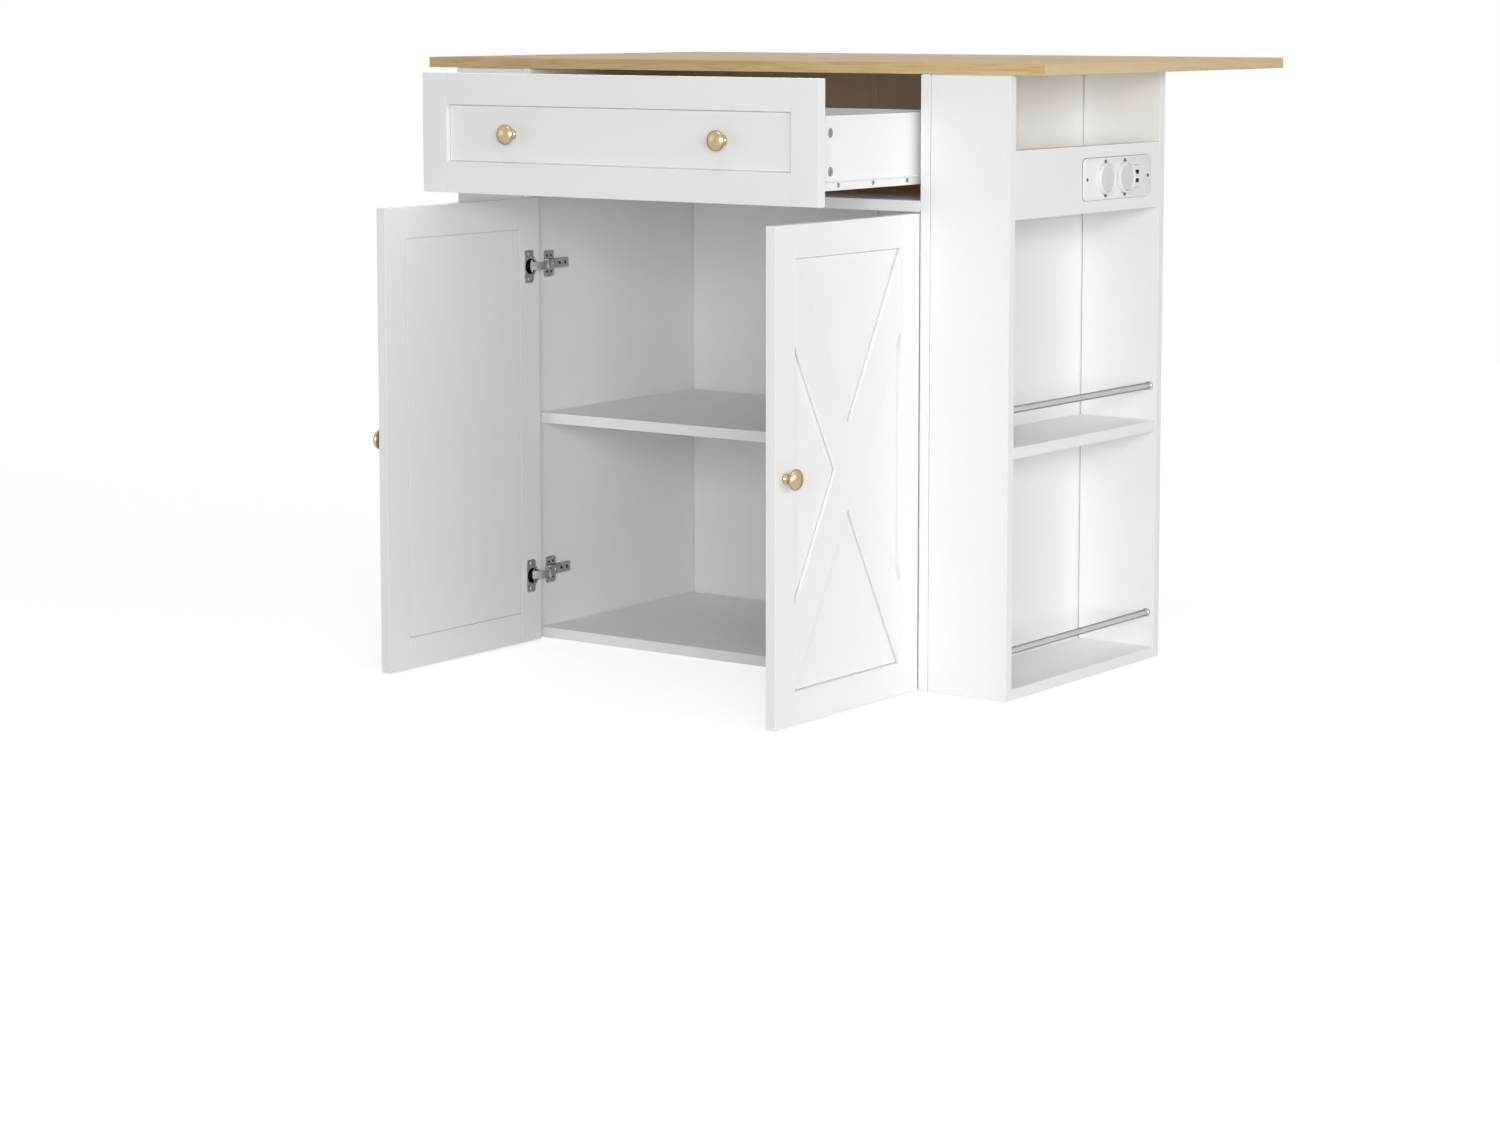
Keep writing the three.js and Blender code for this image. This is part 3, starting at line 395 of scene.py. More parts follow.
def moulded(name, dark, light, roughness=(0.34, 0.46), shine=0.5):
    """Moulded plastic between two near tones, with a fine spark-eroded grain."""
    finish = Finish(name, sum(roughness) / 2)
    finish.shader.inputs["Specular IOR Level"].default_value = shine
    tone = finish.noise(25.0, detail=2.0)
    finish.colour(finish.ramp(tone, (0.3, dark), (0.7, light)))
    finish.roughness(finish.noise(300.0, detail=3.0), *roughness)
    finish.bump(finish.noise(2600.0, detail=1.0), 0.12, 0.0001)
    return finish.material


LACQUER = lacquer()[0].material
BAY_SHADE_LACQUER = bay_shade_lacquer()
OAK = oak()
BRASS = champagne_brass()
STEEL = nickel_steel()
CUP_SHADED_STEEL = nickel_steel("nickel_cup_painted_shade", CUP_SHADE_FROM)
BLACK_ZINC = black_zinc()
DULL_STEEL = dull_steel()
LINK_STEEL = dull_steel("link_steel", (0.62, 0.74))
TUBE = polished_tube()
ENAMEL = enamel()
WHITE_PLASTIC = moulded("white_plastic", (0.85, 0.85, 0.848), (0.88, 0.88, 0.878))
GREY_PLASTIC = moulded("grey_plastic", (0.70, 0.70, 0.70), (0.74, 0.74, 0.74))
# painted shade: dark grey lugs standing in for the shaded notches beside each cover
NOTCH_SHADE_PLASTIC = moulded("notch_shade_plastic", (0.10, 0.10, 0.10), (0.13, 0.13, 0.13))
BLACK_PLASTIC = moulded("black_plastic", (0.010, 0.010, 0.011), (0.018, 0.018, 0.019), shine=0.08)
# dark grey as painted shade: it draws the shadow line round the socket plate
SHADE_GASKET = moulded("shade_gasket", (0.30, 0.30, 0.30), (0.34, 0.34, 0.34), (0.6, 0.7), shine=0.2)

# ---- Mesh code ----


def prism(outline, depth_from, depth_to, place=None, edge=0.0):
    """A flat outline in x and z, filled from one y to another, with its edges eased."""
    bm = bmesh.new()
    face = bm.faces.new([bm.verts.new((x, depth_from, z)) for x, z in outline])
    made = bmesh.ops.extrude_face_region(bm, geom=[face])
    moved = [v for v in made["geom"] if isinstance(v, bmesh.types.BMVert)]
    bmesh.ops.translate(bm, verts=moved, vec=(0, depth_to - depth_from, 0))
    bmesh.ops.recalc_face_normals(bm, faces=bm.faces[:])
    if edge:
        bmesh.ops.bevel(bm, geom=bm.edges[:], offset=edge, segments=2, profile=0.5, affect="EDGES")
    if place:
        bm.transform(place)
    return bm


def board(low, high, place=None, edge=EDGE):
    """A board between two corners, with eased edges."""
    outline = [(low[0], low[2]), (high[0], low[2]), (high[0], high[2]), (low[0], high[2])]
    return prism(outline, low[1], high[1], place, edge)


def rounded(x0, z0, x1, z1, radius, steps=6):
    """A rectangle's outline with round corners."""
    corners = ((x1 - radius, z0 + radius, -90), (x1 - radius, z1 - radius, 0),
               (x0 + radius, z1 - radius, 90), (x0 + radius, z0 + radius, 180))
    points = []
    for x, z, start in corners:
        for step in range(steps + 1):
            angle = math.radians(start + 90 * step / steps)
            points.append((x + radius * math.cos(angle), z + radius * math.sin(angle)))
    return points


def spline(p, q, r, s, t):
    """From q to r as t goes from 0 to 1, on a smooth curve that comes from p and goes on to s."""
    square = (2 * p - 5 * q + 4 * r - s) * t * t
    cube = (3 * q - p - 3 * r + s) * t ** 3
    return 0.5 * (2 * q + (r - p) * t + square + cube)


def smooth_line(points, steps=4):
    """More points on a smooth curve through the given ones."""
    padded = [points[0], *points, points[-1]]
    line = []
    for four in zip(padded, padded[1:], padded[2:], padded[3:]):
        for step in range(steps):
            t = step / steps
            line.append(tuple(spline(p, q, r, s, t) for p, q, r, s in zip(*four)))
    return [(max(r, 0.0), h) for r, h in line] + [points[-1]]


def lathe(profile, place=None, sides=64):
    """A profile of radius and height turned about z. It starts and ends on the axis or closes on itself."""
    bm = bmesh.new()
    rings = []
    for radius, height in profile:
        if radius < 1e-7:
            rings.append([bm.verts.new((0, 0, height))])
            continue
        turn = [2 * math.pi * k / sides for k in range(sides)]
        rings.append([bm.verts.new((radius * math.cos(a), radius * math.sin(a), height)) for a in turn])
    for low, high in zip(rings, rings[1:]):
        for k in range(sides):
            j = (k + 1) % sides
            corners = [low[k % len(low)], low[j % len(low)], high[j % len(high)], high[k % len(high)]]
            corners = list(dict.fromkeys(corners))
            if len(corners) > 2:
                bm.faces.new(corners)
    bmesh.ops.remove_doubles(bm, verts=bm.verts[:], dist=1e-7)
    bmesh.ops.recalc_face_normals(bm, faces=bm.faces[:])
    if place:
        bm.transform(place)
    return bm


def cylinder(diameter, start, end, place, sides):
    radius = diameter / 2
    return lathe([(0, start), (radius, start), (radius, end), (0, end)], place, sides)


def pointing(direction, origin):
    """The place of a form drawn along +z, turned to point another way."""
    turn = Vector(direction).to_track_quat("Z", "Y").to_matrix().to_4x4()
    return Matrix.Translation(origin) @ turn


def face_outwards(bm):
    """Turns the faces of closed forms outwards. All of them must turn the same way already."""
    bm.normal_update()
    middle = sum((v.co for v in bm.verts), Vector()) / len(bm.verts)
    if sum((f.calc_center_median() - middle).dot(f.normal) * f.calc_area() for f in bm.faces) < 0:
        bmesh.ops.reverse_faces(bm, faces=bm.faces[:])


def joined(parts):
    """Several closed forms in one mesh."""
    bm = bmesh.new()
    for part in parts:
        face_outwards(part)
        mesh = bpy.data.meshes.new("part")
        part.to_mesh(mesh)
        part.free()
        bm.from_mesh(mesh)
        bpy.data.meshes.remove(mesh)
    return bm


def jointed(low, high, thin, held, place=None, gap=JOINT):
    """A board whose faces stop short of its neighbours on the held sides, over a core that reaches them."""
    skin, core = [Vector(low), Vector(high)], [Vector(low), Vector(high)]
    for index, axis in enumerate("xyz"):
        for end, side in enumerate("-+"):
            inwards = 1 - 2 * end
            if side + axis in held:
                skin[end][index] += inwards * gap
            elif axis == thin:
                core[end][index] += inwards * min(CORE_DEPTH, CORE_SHARE * (high[index] - low[index]))
            else:
                core[end][index] += inwards * 2 * EDGE
    bm = joined([board(*skin), board(*core, edge=0)])
    if place:
        bm.transform(place)
    return bm


def piece(name, bm, material, body, stands_for=(), sharp=SHARP_SMALL, cuts=None):
    """A finished piece that rides on a body. Cuts are forms taken out of it."""
    for cut in cuts or ():
        # faces are divided at each cut's middle, so that no face has to hold a hole
        middle = sum((v.co for v in cut.verts), Vector()) / len(cut.verts)
        parts = bm.verts[:] + bm.edges[:] + bm.faces[:]
        bmesh.ops.bisect_plane(bm, geom=parts, plane_co=middle, plane_no=(0, 0, 1))
    face_outwards(bm)
    mesh = bpy.data.meshes.new(name)
    bm.to_mesh(mesh)
    bm.free()
    made = bpy.data.objects.new(name, mesh)
    bpy.context.scene.collection.objects.link(made)
    if cuts:
        take_out(made, cuts)
    mesh = made.data
    mesh.materials.clear()
    mesh.materials.append(material)
    mesh.polygons.foreach_set("use_smooth", [True] * len(mesh.polygons))
    mesh.set_sharp_from_angle(angle=math.radians(sharp))
    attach(made, body)
    if stands_for:
        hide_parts(*stands_for)


def take_out(made, cuts):
    """Cuts forms out of a new piece's mesh."""
    for cut in cuts:
        face_outwards(cut)
        mesh = bpy.data.meshes.new("cut")
        cut.to_mesh(mesh)
        cut.free()
        tool = bpy.data.objects.new("cut", mesh)
        bpy.context.scene.collection.objects.link(tool)
        step = made.modifiers.new("cut", "BOOLEAN")
        step.operation = "DIFFERENCE"
        step.solver = "MANIFOLD"
        step.object = tool
        bpy.context.view_layer.update()
        result = bpy.data.meshes.new_from_object(made.evaluated_get(bpy.context.evaluated_depsgraph_get()))
        made.modifiers.clear()
        made.data = result
        bpy.data.objects.remove(tool)


def flat_shaded(bm, name, material, body, stands_for=(), cuts=None):
    """A board piece: its big faces stay flat and its eased edges catch the light."""
    piece(name, bm, material, body, stands_for, SHARP_BOARD, cuts)


# ---- Screws ----


# shares of a head's radius and height
DOMED_HEAD = ((1, 0), (1, 0.35), (0.96, 0.7), (0.88, 0.92), (0.78, 1))
FLAT_TOP = 0.8
CROSS_ARM, CROSS_HALF_WIDTH, CROSS_RING, CROSS_TAPER = 0.55, 0.13, 1.25, 0.9
RECESS = 0.65
FLAT_BEVEL = 0.0005


def cross_recess(bm, radius, height, floor):
    """Adds a cross recess and a ring of points round it, and gives that ring."""
    arm, half = radius * CROSS_ARM, radius * CROSS_HALF_WIDTH
    star = [(half, half), (half, arm), (-half, arm), (-half, half), (-arm, half), (-arm, -half),
            (-half, -half), (-half, -arm), (half, -arm), (half, -half), (arm, -half), (arm, half)]
    top = [bm.verts.new((x, y, height)) for x, y in star]
    bottom = [bm.verts.new((x * CROSS_TAPER, y * CROSS_TAPER, floor)) for x, y in star]
    turns = [math.atan2(y, x) for x, y in star]
    reach = arm * CROSS_RING
    outer = [bm.verts.new((math.cos(a) * reach, math.sin(a) * reach, height)) for a in turns]
    bm.faces.new(bottom)
    for k in range(len(star)):
        j = (k + 1) % len(star)
        bm.faces.new((top[k], top[j], bottom[j], bottom[k]))
        bm.faces.new((outer[k], outer[j], top[j], top[k]))
    return outer


def screw(size, place, recess=None, flat=False):
    """A head with a cross recess, low and domed or flat, drawn from its underside along +z."""
    radius, height = size[0] / 2, size[1]
    if flat:
        profile = [(0, 0), (radius, 0), (radius, height - FLAT_BEVEL), (radius - FLAT_BEVEL, height),
                   (radius * FLAT_TOP, height)]
    else:
        profile = [(0, 0)] + [(radius * across, height * up) for across, up in DOMED_HEAD]
    bm = lathe(profile, sides=24)
    rim = [e for e in bm.edges if e.is_boundary]
    ring = sorted({v for e in rim for v in e.verts}, key=lambda v: math.atan2(v.co.y, v.co.x))
    outer = cross_recess(bm, radius, height, height - (recess or height * RECESS))
    loops = []
    for loop in (ring, outer):
        count = len(loop)
        pairs = [(loop[k], loop[(k + 1) % count]) for k in range(count)]
        loops += [bm.edges.get(pair) or bm.edges.new(pair) for pair in pairs]
    bmesh.ops.bridge_loops(bm, edges=loops)
    bmesh.ops.recalc_face_normals(bm, faces=bm.faces[:])
    bm.transform(place)
    return bm


def screws(name, places, body, size, material=STEEL):
    """One piece of like heads, each with its place and the way it faces."""
    heads = [screw(size, pointing(facing, at)) for at, facing in places]
    piece(name, joined(heads), material, body, sharp=SHARP_SCREW)


# ---- Boards ----

# finishes of the CAD pieces other than the plain lacquer, by the start of their names
FINISHES = (
    ("worktop", OAK),
    ("drop_leaf", OAK),
    ("hinge_cup", CUP_SHADED_STEEL),
    ("hinge_link", LINK_STEEL),
    ("hinge_", STEEL),
    ("leaf_bracket", ENAMEL),
    ("cabinet_runner", ENAMEL),
    ("drawer_runner", ENAMEL),
    ("runner_roller", WHITE_PLASTIC),
    ("back_joint_strip", BAY_SHADE_LACQUER),
)
SMALL_FORMS = ("hinge_", "leaf_bracket", "cabinet_runner", "drawer_runner", "runner_roller")


def dress(name, node):
    """Gives a node of the frame its finish and eases its edges."""
    material = next((m for start, m in FINISHES if name.startswith(start)), LACQUER)
    node.data.materials.clear()
    node.data.materials.append(material)
    weld = node.modifiers.new("weld", "WELD")
    weld.merge_threshold = WELD_REACH
    ease = node.modifiers.new("ease", "BEVEL")
    small = name.startswith(SMALL_FORMS)
    ease.width = SMALL_EDGE if small else EDGE
    ease.segments = 1 if small else 2
    ease.limit_method = "ANGLE"
    ease.angle_limit = math.radians(EASED_ANGLE)
    ease.use_clamp_overlap = True


def build_board(node, thin, held, material=LACQUER, body="carcass", high_y=None, gap=JOINT):
    """A board in the place of its node, with shadow lines where it meets others."""
    low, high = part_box(node)
    if high_y is not None:
        high = Vector((high.x, high_y, high.z))
    flat_shaded(jointed(low, high, thin, held, gap=gap), f"{node}_board", material, body, [node])


def build_boards():
    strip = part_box("back_joint_strip")[0].y - STRIP_PLAY
    for end, side in SIDES:
        inner, outer = ("+x", "-x") if side < 0 else ("-x", "+x")
        build_board(f"side_panel_{end}", "x", ("+z",), BAY_SHADE_LACQUER)
        build_back(end, side)
        build_board(f"rack_front_{end}", "y", (inner, "+z"))
        build_board(f"rack_rear_{end}", "y", (inner, "+z"), gap=CORNER_JOINT)
        build_board(f"rack_bottom_{end}", "z", (inner, "-y", "+y"))
        build_board(f"rack_shelf_{end}", "z", (inner, "-y", "+y"))
        build_drawer_side(end, side)
    build_board("bottom_panel", "z", ("-x", "+x", "+y"), high_y=strip)
    build_board("drawer_divider", "z", ("-x", "+x", "+y"), BAY_SHADE_LACQUER, high_y=strip)
    build_board("middle_shelf", "z", ("-x", "+x", "+y"))
    build_board("drawer_back", "y", ("-x", "+x"), body="drawer")


def build_back(end, side):
    """A back board whose face stops short of the side panel and of the joint strip's flange."""
    low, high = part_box(f"back_panel_{end}")
    strip_low, strip_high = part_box("back_joint_strip")
    face_low, face_high = Vector(low), Vector((high.x, (low.y + high.y) / 2, high.z))
    if side < 0:
        face_low.x, face_high.x = low.x + CORNER_JOINT, strip_low.x - JOINT
    else:
        face_low.x, face_high.x = strip_high.x + JOINT, high.x - CORNER_JOINT
    core_low = Vector((low.x, low.y + STRIP_GROOVE, low.z))
    core = jointed(core_low, high, "y", ("-x" if side < 0 else "+x",), gap=CORNER_JOINT)
    form = joined([board(face_low, face_high), core])
    flat_shaded(form, f"back_panel_{end}_board", BAY_SHADE_LACQUER, "carcass", [f"back_panel_{end}"])


def build_drawer_side(end, side):
    """Grooved for the drawer's bottom and bored for the cams that hold the front."""
    low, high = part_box(f"drawer_side_{end}")
    bottom_low, bottom_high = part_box("drawer_bottom")
    if side < 0:
        groove = (high.x - BOTTOM_GROOVE, high.x + CUTTER_MARGIN)
    else:
        groove = (low.x - CUTTER_MARGIN, low.x + BOTTOM_GROOVE)
    groove_low = Vector((groove[0], low.y - CUTTER_MARGIN, bottom_low.z - GROOVE_PLAY))
    groove_high = Vector((groove[1], high.y + CUTTER_MARGIN, bottom_high.z + GROOVE_PLAY))
    cuts = [board(groove_low, groove_high, edge=0)]
    outer = low.x if side < 0 else high.x
    outwards = Vector((side, 0, 0))
    cams = []
    for up in CAMS_UP:
        at = Vector((outer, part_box("drawer_front")[1].y + CAM_SETBACK, low.z + up))
        cuts.append(cylinder(CAM_POCKET, -CAM_POCKET_DEPTH, CUTTER_MARGIN, pointing(outwards, at), 40))
        foot = at - outwards * CAM_POCKET_DEPTH
        cams.append(screw((CAM_DIAMETER, CAM_HEIGHT), pointing(outwards, foot), CAM_RECESS, flat=True))
    flat_shaded(board(low, high), f"drawer_side_{end}_board", LACQUER, "drawer", [f"drawer_side_{end}"], cuts)
    piece(f"drawer_side_{end}_cams", joined(cams), DULL_STEEL, "drawer", sharp=SHARP_SCREW)


for node_name, cad_node in nodes.items():
    dress(node_name, cad_node)

# ---- Doors ----


def door_place(side):
    """From the closed door's own frame, x from the hinge and y inwards, to where it stands open."""
    low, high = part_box("door_left" if side < 0 else "door_right")
    corner = Vector((low.x if side < 0 else high.x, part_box("drawer_divider")[0].y, 0))
    turn = Matrix.Rotation(math.radians(90 * side), 4, "Z")
    flip = Matrix.Diagonal((-side, 1, 1, 1))
    return Matrix.Translation(corner) @ turn @ flip


def crossing(a, b):
    """Where two lines through point pairs cross."""
    (x1, z1), (x2, z2) = a
    (x3, z3), (x4, z4) = b
    slope_a, slope_b = (z2 - z1) / (x2 - x1), (z4 - z3) / (x4 - x3)
    x = (z3 - z1 + slope_a * x1 - slope_b * x3) / (slope_a - slope_b)
    return (x, z1 + slope_a * (x - x1))


def cross_outlines(x0, z0, x1, z1, hold=0.0):
    """One whole diagonal and the two halves of the other, with their long edges held in."""
    g = EDGE / 2 + 2 * hold
    foot = BRACE_FOOT - hold
    low, high = ((x0, z0 + hold), (x1, z1 - foot)), ((x0, z0 + foot), (x1, z1 - hold))
    top, under = ((x0, z1 - hold), (x1, z0 + foot)), ((x0, z1 - foot), (x1, z0 + hold))
    whole = [low[0], low[1], high[1], high[0]]
    above, below = [((a[0], a[1] + w), (b[0], b[1] + w)) for (a, b), w in ((high, g), (low, -g))]
    hinge_half = [under[0], crossing(under, above), crossing(top, above), top[0]]
    free_half = [crossing(under, below), under[1], top[1], crossing(top, below)]
    return {"whole": whole, "hinge_half": hinge_half, "free_half": free_half}


def cup_pockets(end, place, corner_y, thickness):
    """Cutters of the pockets that the hinge cups sit in."""
    cutters = []
    for level in LEVELS:
        low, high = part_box(f"hinge_cup_{level}_{end}")
        at = Vector((corner_y - low.y - CUP_MIDDLE, thickness, (low.z + high.z) / 2))
        into_door = place @ pointing((0, -1, 0), at)
        cutters.append(cylinder(CUP_POCKET, -CUP_POCKET_MOUTH, CUP_POCKET_DEPTH, into_door, 48))
    return cutters


def build_door(end, side):
    """Stiles, rails, panel and the three pieces of the cross, drawn closed and turned open."""
    body = f"door_{end}"
    place = door_place(side)
    low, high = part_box(body)
    thickness = high.x - low.x
    corner_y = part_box("drawer_divider")[0].y
    x0, x1, z0, z1 = corner_y - high.y, corner_y - low.y, low.z, high.z
    fx0, fx1, fz0, fz1 = x0 + FRAME_WIDTH, x1 - FRAME_WIDTH, z0 + FRAME_WIDTH, z1 - FRAME_WIDTH
    ends, rim = ("-x", "+x"), ("-x", "+x", "-z", "+z")
    forms = {
        "hinge_stile": board((x0, 0, z0), (fx0, thickness, z1), place),
        "free_stile": board((fx1, 0, z0), (x1, thickness, z1), place),
        "bottom_rail": jointed((fx0, 0, z0), (fx1, thickness, fz0), "y", ends, place, SEAM),
        "top_rail": jointed((fx0, 0, fz1), (fx1, thickness, z1), "y", ends, place, SEAM),
        "panel": jointed((fx0, DOOR_RECESS, fz0), (fx1, thickness, fz1), "y", rim, place),
    }
    inner = (fx0 + SEAM, fz0 + SEAM, fx1 - SEAM, fz1 - SEAM)
    cores = cross_outlines(*inner, BRACE_HOLD)
    for part, outline in cross_outlines(*inner).items():
        face = prism(outline, EDGE / 4, DOOR_RECESS - BRACE_SHADOW, place, BRACE_EDGE)
        core = prism(cores[part], EDGE, DOOR_RECESS, place)
        forms[f"brace_{part}"] = joined([face, core])
    for part, form in forms.items():
        cuts = cup_pockets(end, place, corner_y, thickness) if part == "hinge_stile" else None
        flat_shaded(form, f"{body}_{part}", LACQUER, body, [body], cuts)


# ---- Drawer front ----


def build_drawer_front():
    """Stiles, rails and the recessed panel."""
    low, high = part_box("drawer_front")
    fx0, fx1 = low.x + FRAME_WIDTH, high.x - FRAME_WIDTH
    fz0, fz1 = low.z + FRAME_WIDTH, high.z - FRAME_WIDTH
    ends, rim = ("-x", "+x"), ("-x", "+x", "-z", "+z")
    forms = {
        "stile_left": board(low, (fx0, high.y, high.z)),
        "stile_right": board((fx1, low.y, low.z), high),
        "rail_bottom": jointed((fx0, low.y, low.z), (fx1, high.y, fz0), "y", ends, gap=SEAM),
        "rail_top": jointed((fx0, low.y, fz1), (fx1, high.y, high.z), "y", ends, gap=SEAM),
        "panel": jointed((fx0, low.y + DRAWER_RECESS, fz0), (fx1, high.y, fz1), "y", rim),
    }
    for part, form in forms.items():
        flat_shaded(form, f"drawer_front_{part}", LACQUER, "drawer", ["drawer_front"])


# ---- Knobs and rails ----

# radius and height over the door, from the foot to the middle of the head
KNOB_PROFILE = [(0, 0), (0.0066, 0), (0.00725, 0.0006), (0.00735, 0.0017), (0.0068, 0.0028), (0.0056, 0.0039),
                (0.0050, 0.0056), (0.0050, 0.0076), (0.0056, 0.0096), (0.0074, 0.0114), (0.0102, 0.0130),
                (0.0126, 0.0145), (0.0141, 0.0159), (0.0145, 0.0172), (0.0142, 0.0188), (0.0130, 0.0205),
                (0.0106, 0.0221), (0.0074, 0.0234), (0.0038, 0.0242), (0, 0.0245)]


def build_knob(node, body, axis):
    """A turned mushroom knob in the place of its node, on an axis that points out of the front."""
    low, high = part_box(node)
    middle = (low + high) / 2
    direction = Vector(axis)
    foot = middle - direction * abs(direction.dot(high - low)) / 2
    form = lathe(smooth_line(KNOB_PROFILE, 3), pointing(direction, foot), sides=72)
    piece(f"{node}_turned", form, BRASS, body, [node], SHARP_TURNED)


def build_rail(node):
    """A polished tube between two turned seats."""
    low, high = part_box(node)
    length = high.y - low.y
    seat = (high.x - low.x) / 2
    start = [(0, 0), (seat - 0.0004, 0), (seat, 0.0004), (seat, 0.0026), (seat - 0.0005, 0.0034),
             (RAIL_TUBE + 0.0004, 0.0039), (RAIL_TUBE, 0.0042)]
    profile = start + [(r, length - h) for r, h in reversed(start)]
    origin = Vector(((low.x + high.x) / 2, low.y, (low.z + high.z) / 2))
    form = lathe(profile, pointing((0, 1, 0), origin), sides=48)
    piece(f"{node}_tube", form, TUBE, "carcass", [node], SHARP_TURNED)


# ---- Socket unit ----


socket_low, socket_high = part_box("socket_unit")
socket_middle = (socket_low.z + socket_high.z) / 2
socket_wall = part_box("rack_front_right")[1].x
socket_face = socket_wall + SOCKET_PLATE
# forms are drawn with x along the board's length and y into the wall, then turned to face +X
socket_place = Matrix.Translation((socket_face, 0, 0)) @ Matrix.Rotation(math.radians(90), 4, "Z")


def limits(middle, size, margin=0.0):
    """x0, z0, x1 and z1 of an upright rectangle about a middle, held in by a margin."""
    half_w, half_h = size[0] / 2, size[1] / 2
    x, z = middle
    return x - half_w + margin, z - half_h + margin, x + half_w - margin, z + half_h - margin


def socket_board(edges, depth_from, depth_to, edge=0.0):
    x0, z0, x1, z1 = edges
    return board((x0, depth_from, z0), (x1, depth_to, z1), socket_place, edge)


def socket_piece(name, form, material, sharp=SHARP_SMALL, cuts=None):
    piece(f"socket_{name}", form, material, "carcass", ["socket_unit"], sharp, cuts)


def build_socket_plate(block_middle):
    """The plate with its window for the charging block, and the gasket under it, whose dark grey is painted
    shade round the plate.
    """
    y0, z0, y1, z1 = socket_low.y, socket_low.z, socket_high.y, socket_high.z
    depth = SOCKET_PLATE - GASKET_THICKNESS
    window = socket_board(limits(block_middle, USB_SIZE), -CUTTER_MARGIN, SOCKET_PLATE + CUTTER_MARGIN)
    plate = prism(rounded(y0, z0, y1, z1, SOCKET_CORNER, 8), 0, depth, socket_place, SOCKET_EDGE)
    socket_piece("plate", plate, WHITE_PLASTIC, SHARP_PLATE, [window])
    lip = GASKET_LIP
    outline = rounded(y0 - lip, z0 - lip, y1 + lip, z1 + lip, SOCKET_CORNER + lip, 8)
    socket_piece("shade_gasket", prism(outline, depth, SOCKET_PLATE, socket_place), SHADE_GASKET, SHARP_PLATE)


def build_charging_block(middle):
    """Two ports, each a black shell with a white tongue, in a block of their own."""
    front = -USB_LIFT - CUTTER_MARGIN
    ports = []
    for way, level in WAYS:
        at = (middle[0], middle[1] + way * USB_PORT_PITCH / 2)
        ports.append(socket_board(limits(at, USB_PORT), front, USB_PORT_DEPTH))
        outline = rounded(*limits(at, USB_PORT, USB_SHELL_PLAY), USB_SHELL_CORNER, 3)
        shell = prism(outline, -USB_SHELL_LIFT, USB_PORT_DEPTH - USB_SHELL_PLAY, socket_place)
        hollow = socket_board(limits(at, USB_PORT, USB_PORT_WALL), front, USB_FLOOR)
        socket_piece(f"usb_shell_{level}", shell, BLACK_PLASTIC, cuts=[hollow])
        tongue_at = (at[0], at[1] - USB_TONGUE_DOWN)
        tongue = socket_board(limits(tongue_at, USB_TONGUE), USB_FLOOR - USB_TONGUE_LENGTH, USB_FLOOR,
                              USB_TONGUE_EDGE)
        socket_piece(f"usb_tongue_{level}", tongue, WHITE_PLASTIC)
    outline = rounded(*limits(middle, USB_SIZE, USB_GAP), USB_CORNER, 5)
    block = prism(outline, -USB_LIFT, SOCKET_PLATE, socket_place, USB_EDGE)
    socket_piece("usb_block", block, WHITE_PLASTIC, SHARP_PLATE, ports)


def build_cover(number, along):
    """A round cover: its rim, the disc inside, and a dark lug above and below, painted shade for the notches
    there.
    """
    centre = socket_low.y + along
    axis = pointing((1, 0, 0), (socket_face, centre, socket_middle))
    r, h = COVER_RADIUS, COVER_HEIGHT
    inner = r - COVER_RIM
    ring = [(inner, 0), (r - 0.0008, 0), (r - 0.0008, 0.0007), (r - 0.0002, 0.0009), (r, 0.0014),
            (r, h - 0.0010), (r - 0.0004, h - 0.0003), (r - 0.0011, h), (r - 0.0019, h),
            (inner + 0.0002, h - 0.0003), (inner, h - 0.0009), (inner, 0)]
    socket_piece(f"cover_ring_{number}", lathe(ring, axis, 72), WHITE_PLASTIC, SHARP_COVER)
    rd = inner - COVER_GAP
    disc = [(0, 0), (rd, 0), (rd, h - 0.0030), (rd - 0.0006, h - 0.0024), (rd * 0.6, h - 0.0020),
            (0, h - 0.0018)]
    socket_piece(f"cover_disc_{number}", lathe(disc, axis, 72), GREY_PLASTIC, SHARP_COVER)
    for way, level in WAYS:
        foot = socket_middle + way * (r + LUG_GAP)
        tip = foot + way * LUG_REACH
        lug = [(centre - LUG_FOOT / 2, foot), (centre + LUG_FOOT / 2, foot),
               (centre + LUG_TIP / 2, tip), (centre - LUG_TIP / 2, tip)]
        # the lug's dark grey is painted shade
        form = prism(lug, -LUG_HEIGHT, 0.0, socket_place, LUG_EDGE)
        socket_piece(f"cover_lug_{number}_{level}", form, NOTCH_SHADE_PLASTIC)


def build_socket():
    """Plate, gasket, charging block, two covers, the box behind and the screws."""
    block_middle = (socket_high.y - USB_AT, socket_middle)
    build_socket_plate(block_middle)
    build_charging_block(block_middle)
    for number, along in enumerate(COVER_AT, 1):
        build_cover(number, along)
    inset = Vector((0, SOCKET_BOX_INSET, SOCKET_BOX_INSET))
    box_low = Vector((socket_wall - SOCKET_BOX_DEPTH, socket_low.y, socket_low.z)) + inset
    box_high = Vector((socket_wall, socket_high.y, socket_high.z)) - inset
    socket_piece("box", board(box_low, box_high, edge=SOCKET_BOX_EDGE), WHITE_PLASTIC)
    ends = (socket_low.y + SOCKET_SCREW_INSET, socket_high.y - SOCKET_SCREW_INSET)
    places = [((socket_face - SOCKET_SCREW_SUNK, y, socket_middle), (1, 0, 0)) for y in ends]
    screws("socket_screws", places, "carcass", SOCKET_SCREW, BLACK_ZINC)


# ---- Screws of the hinges, runners and brackets ----


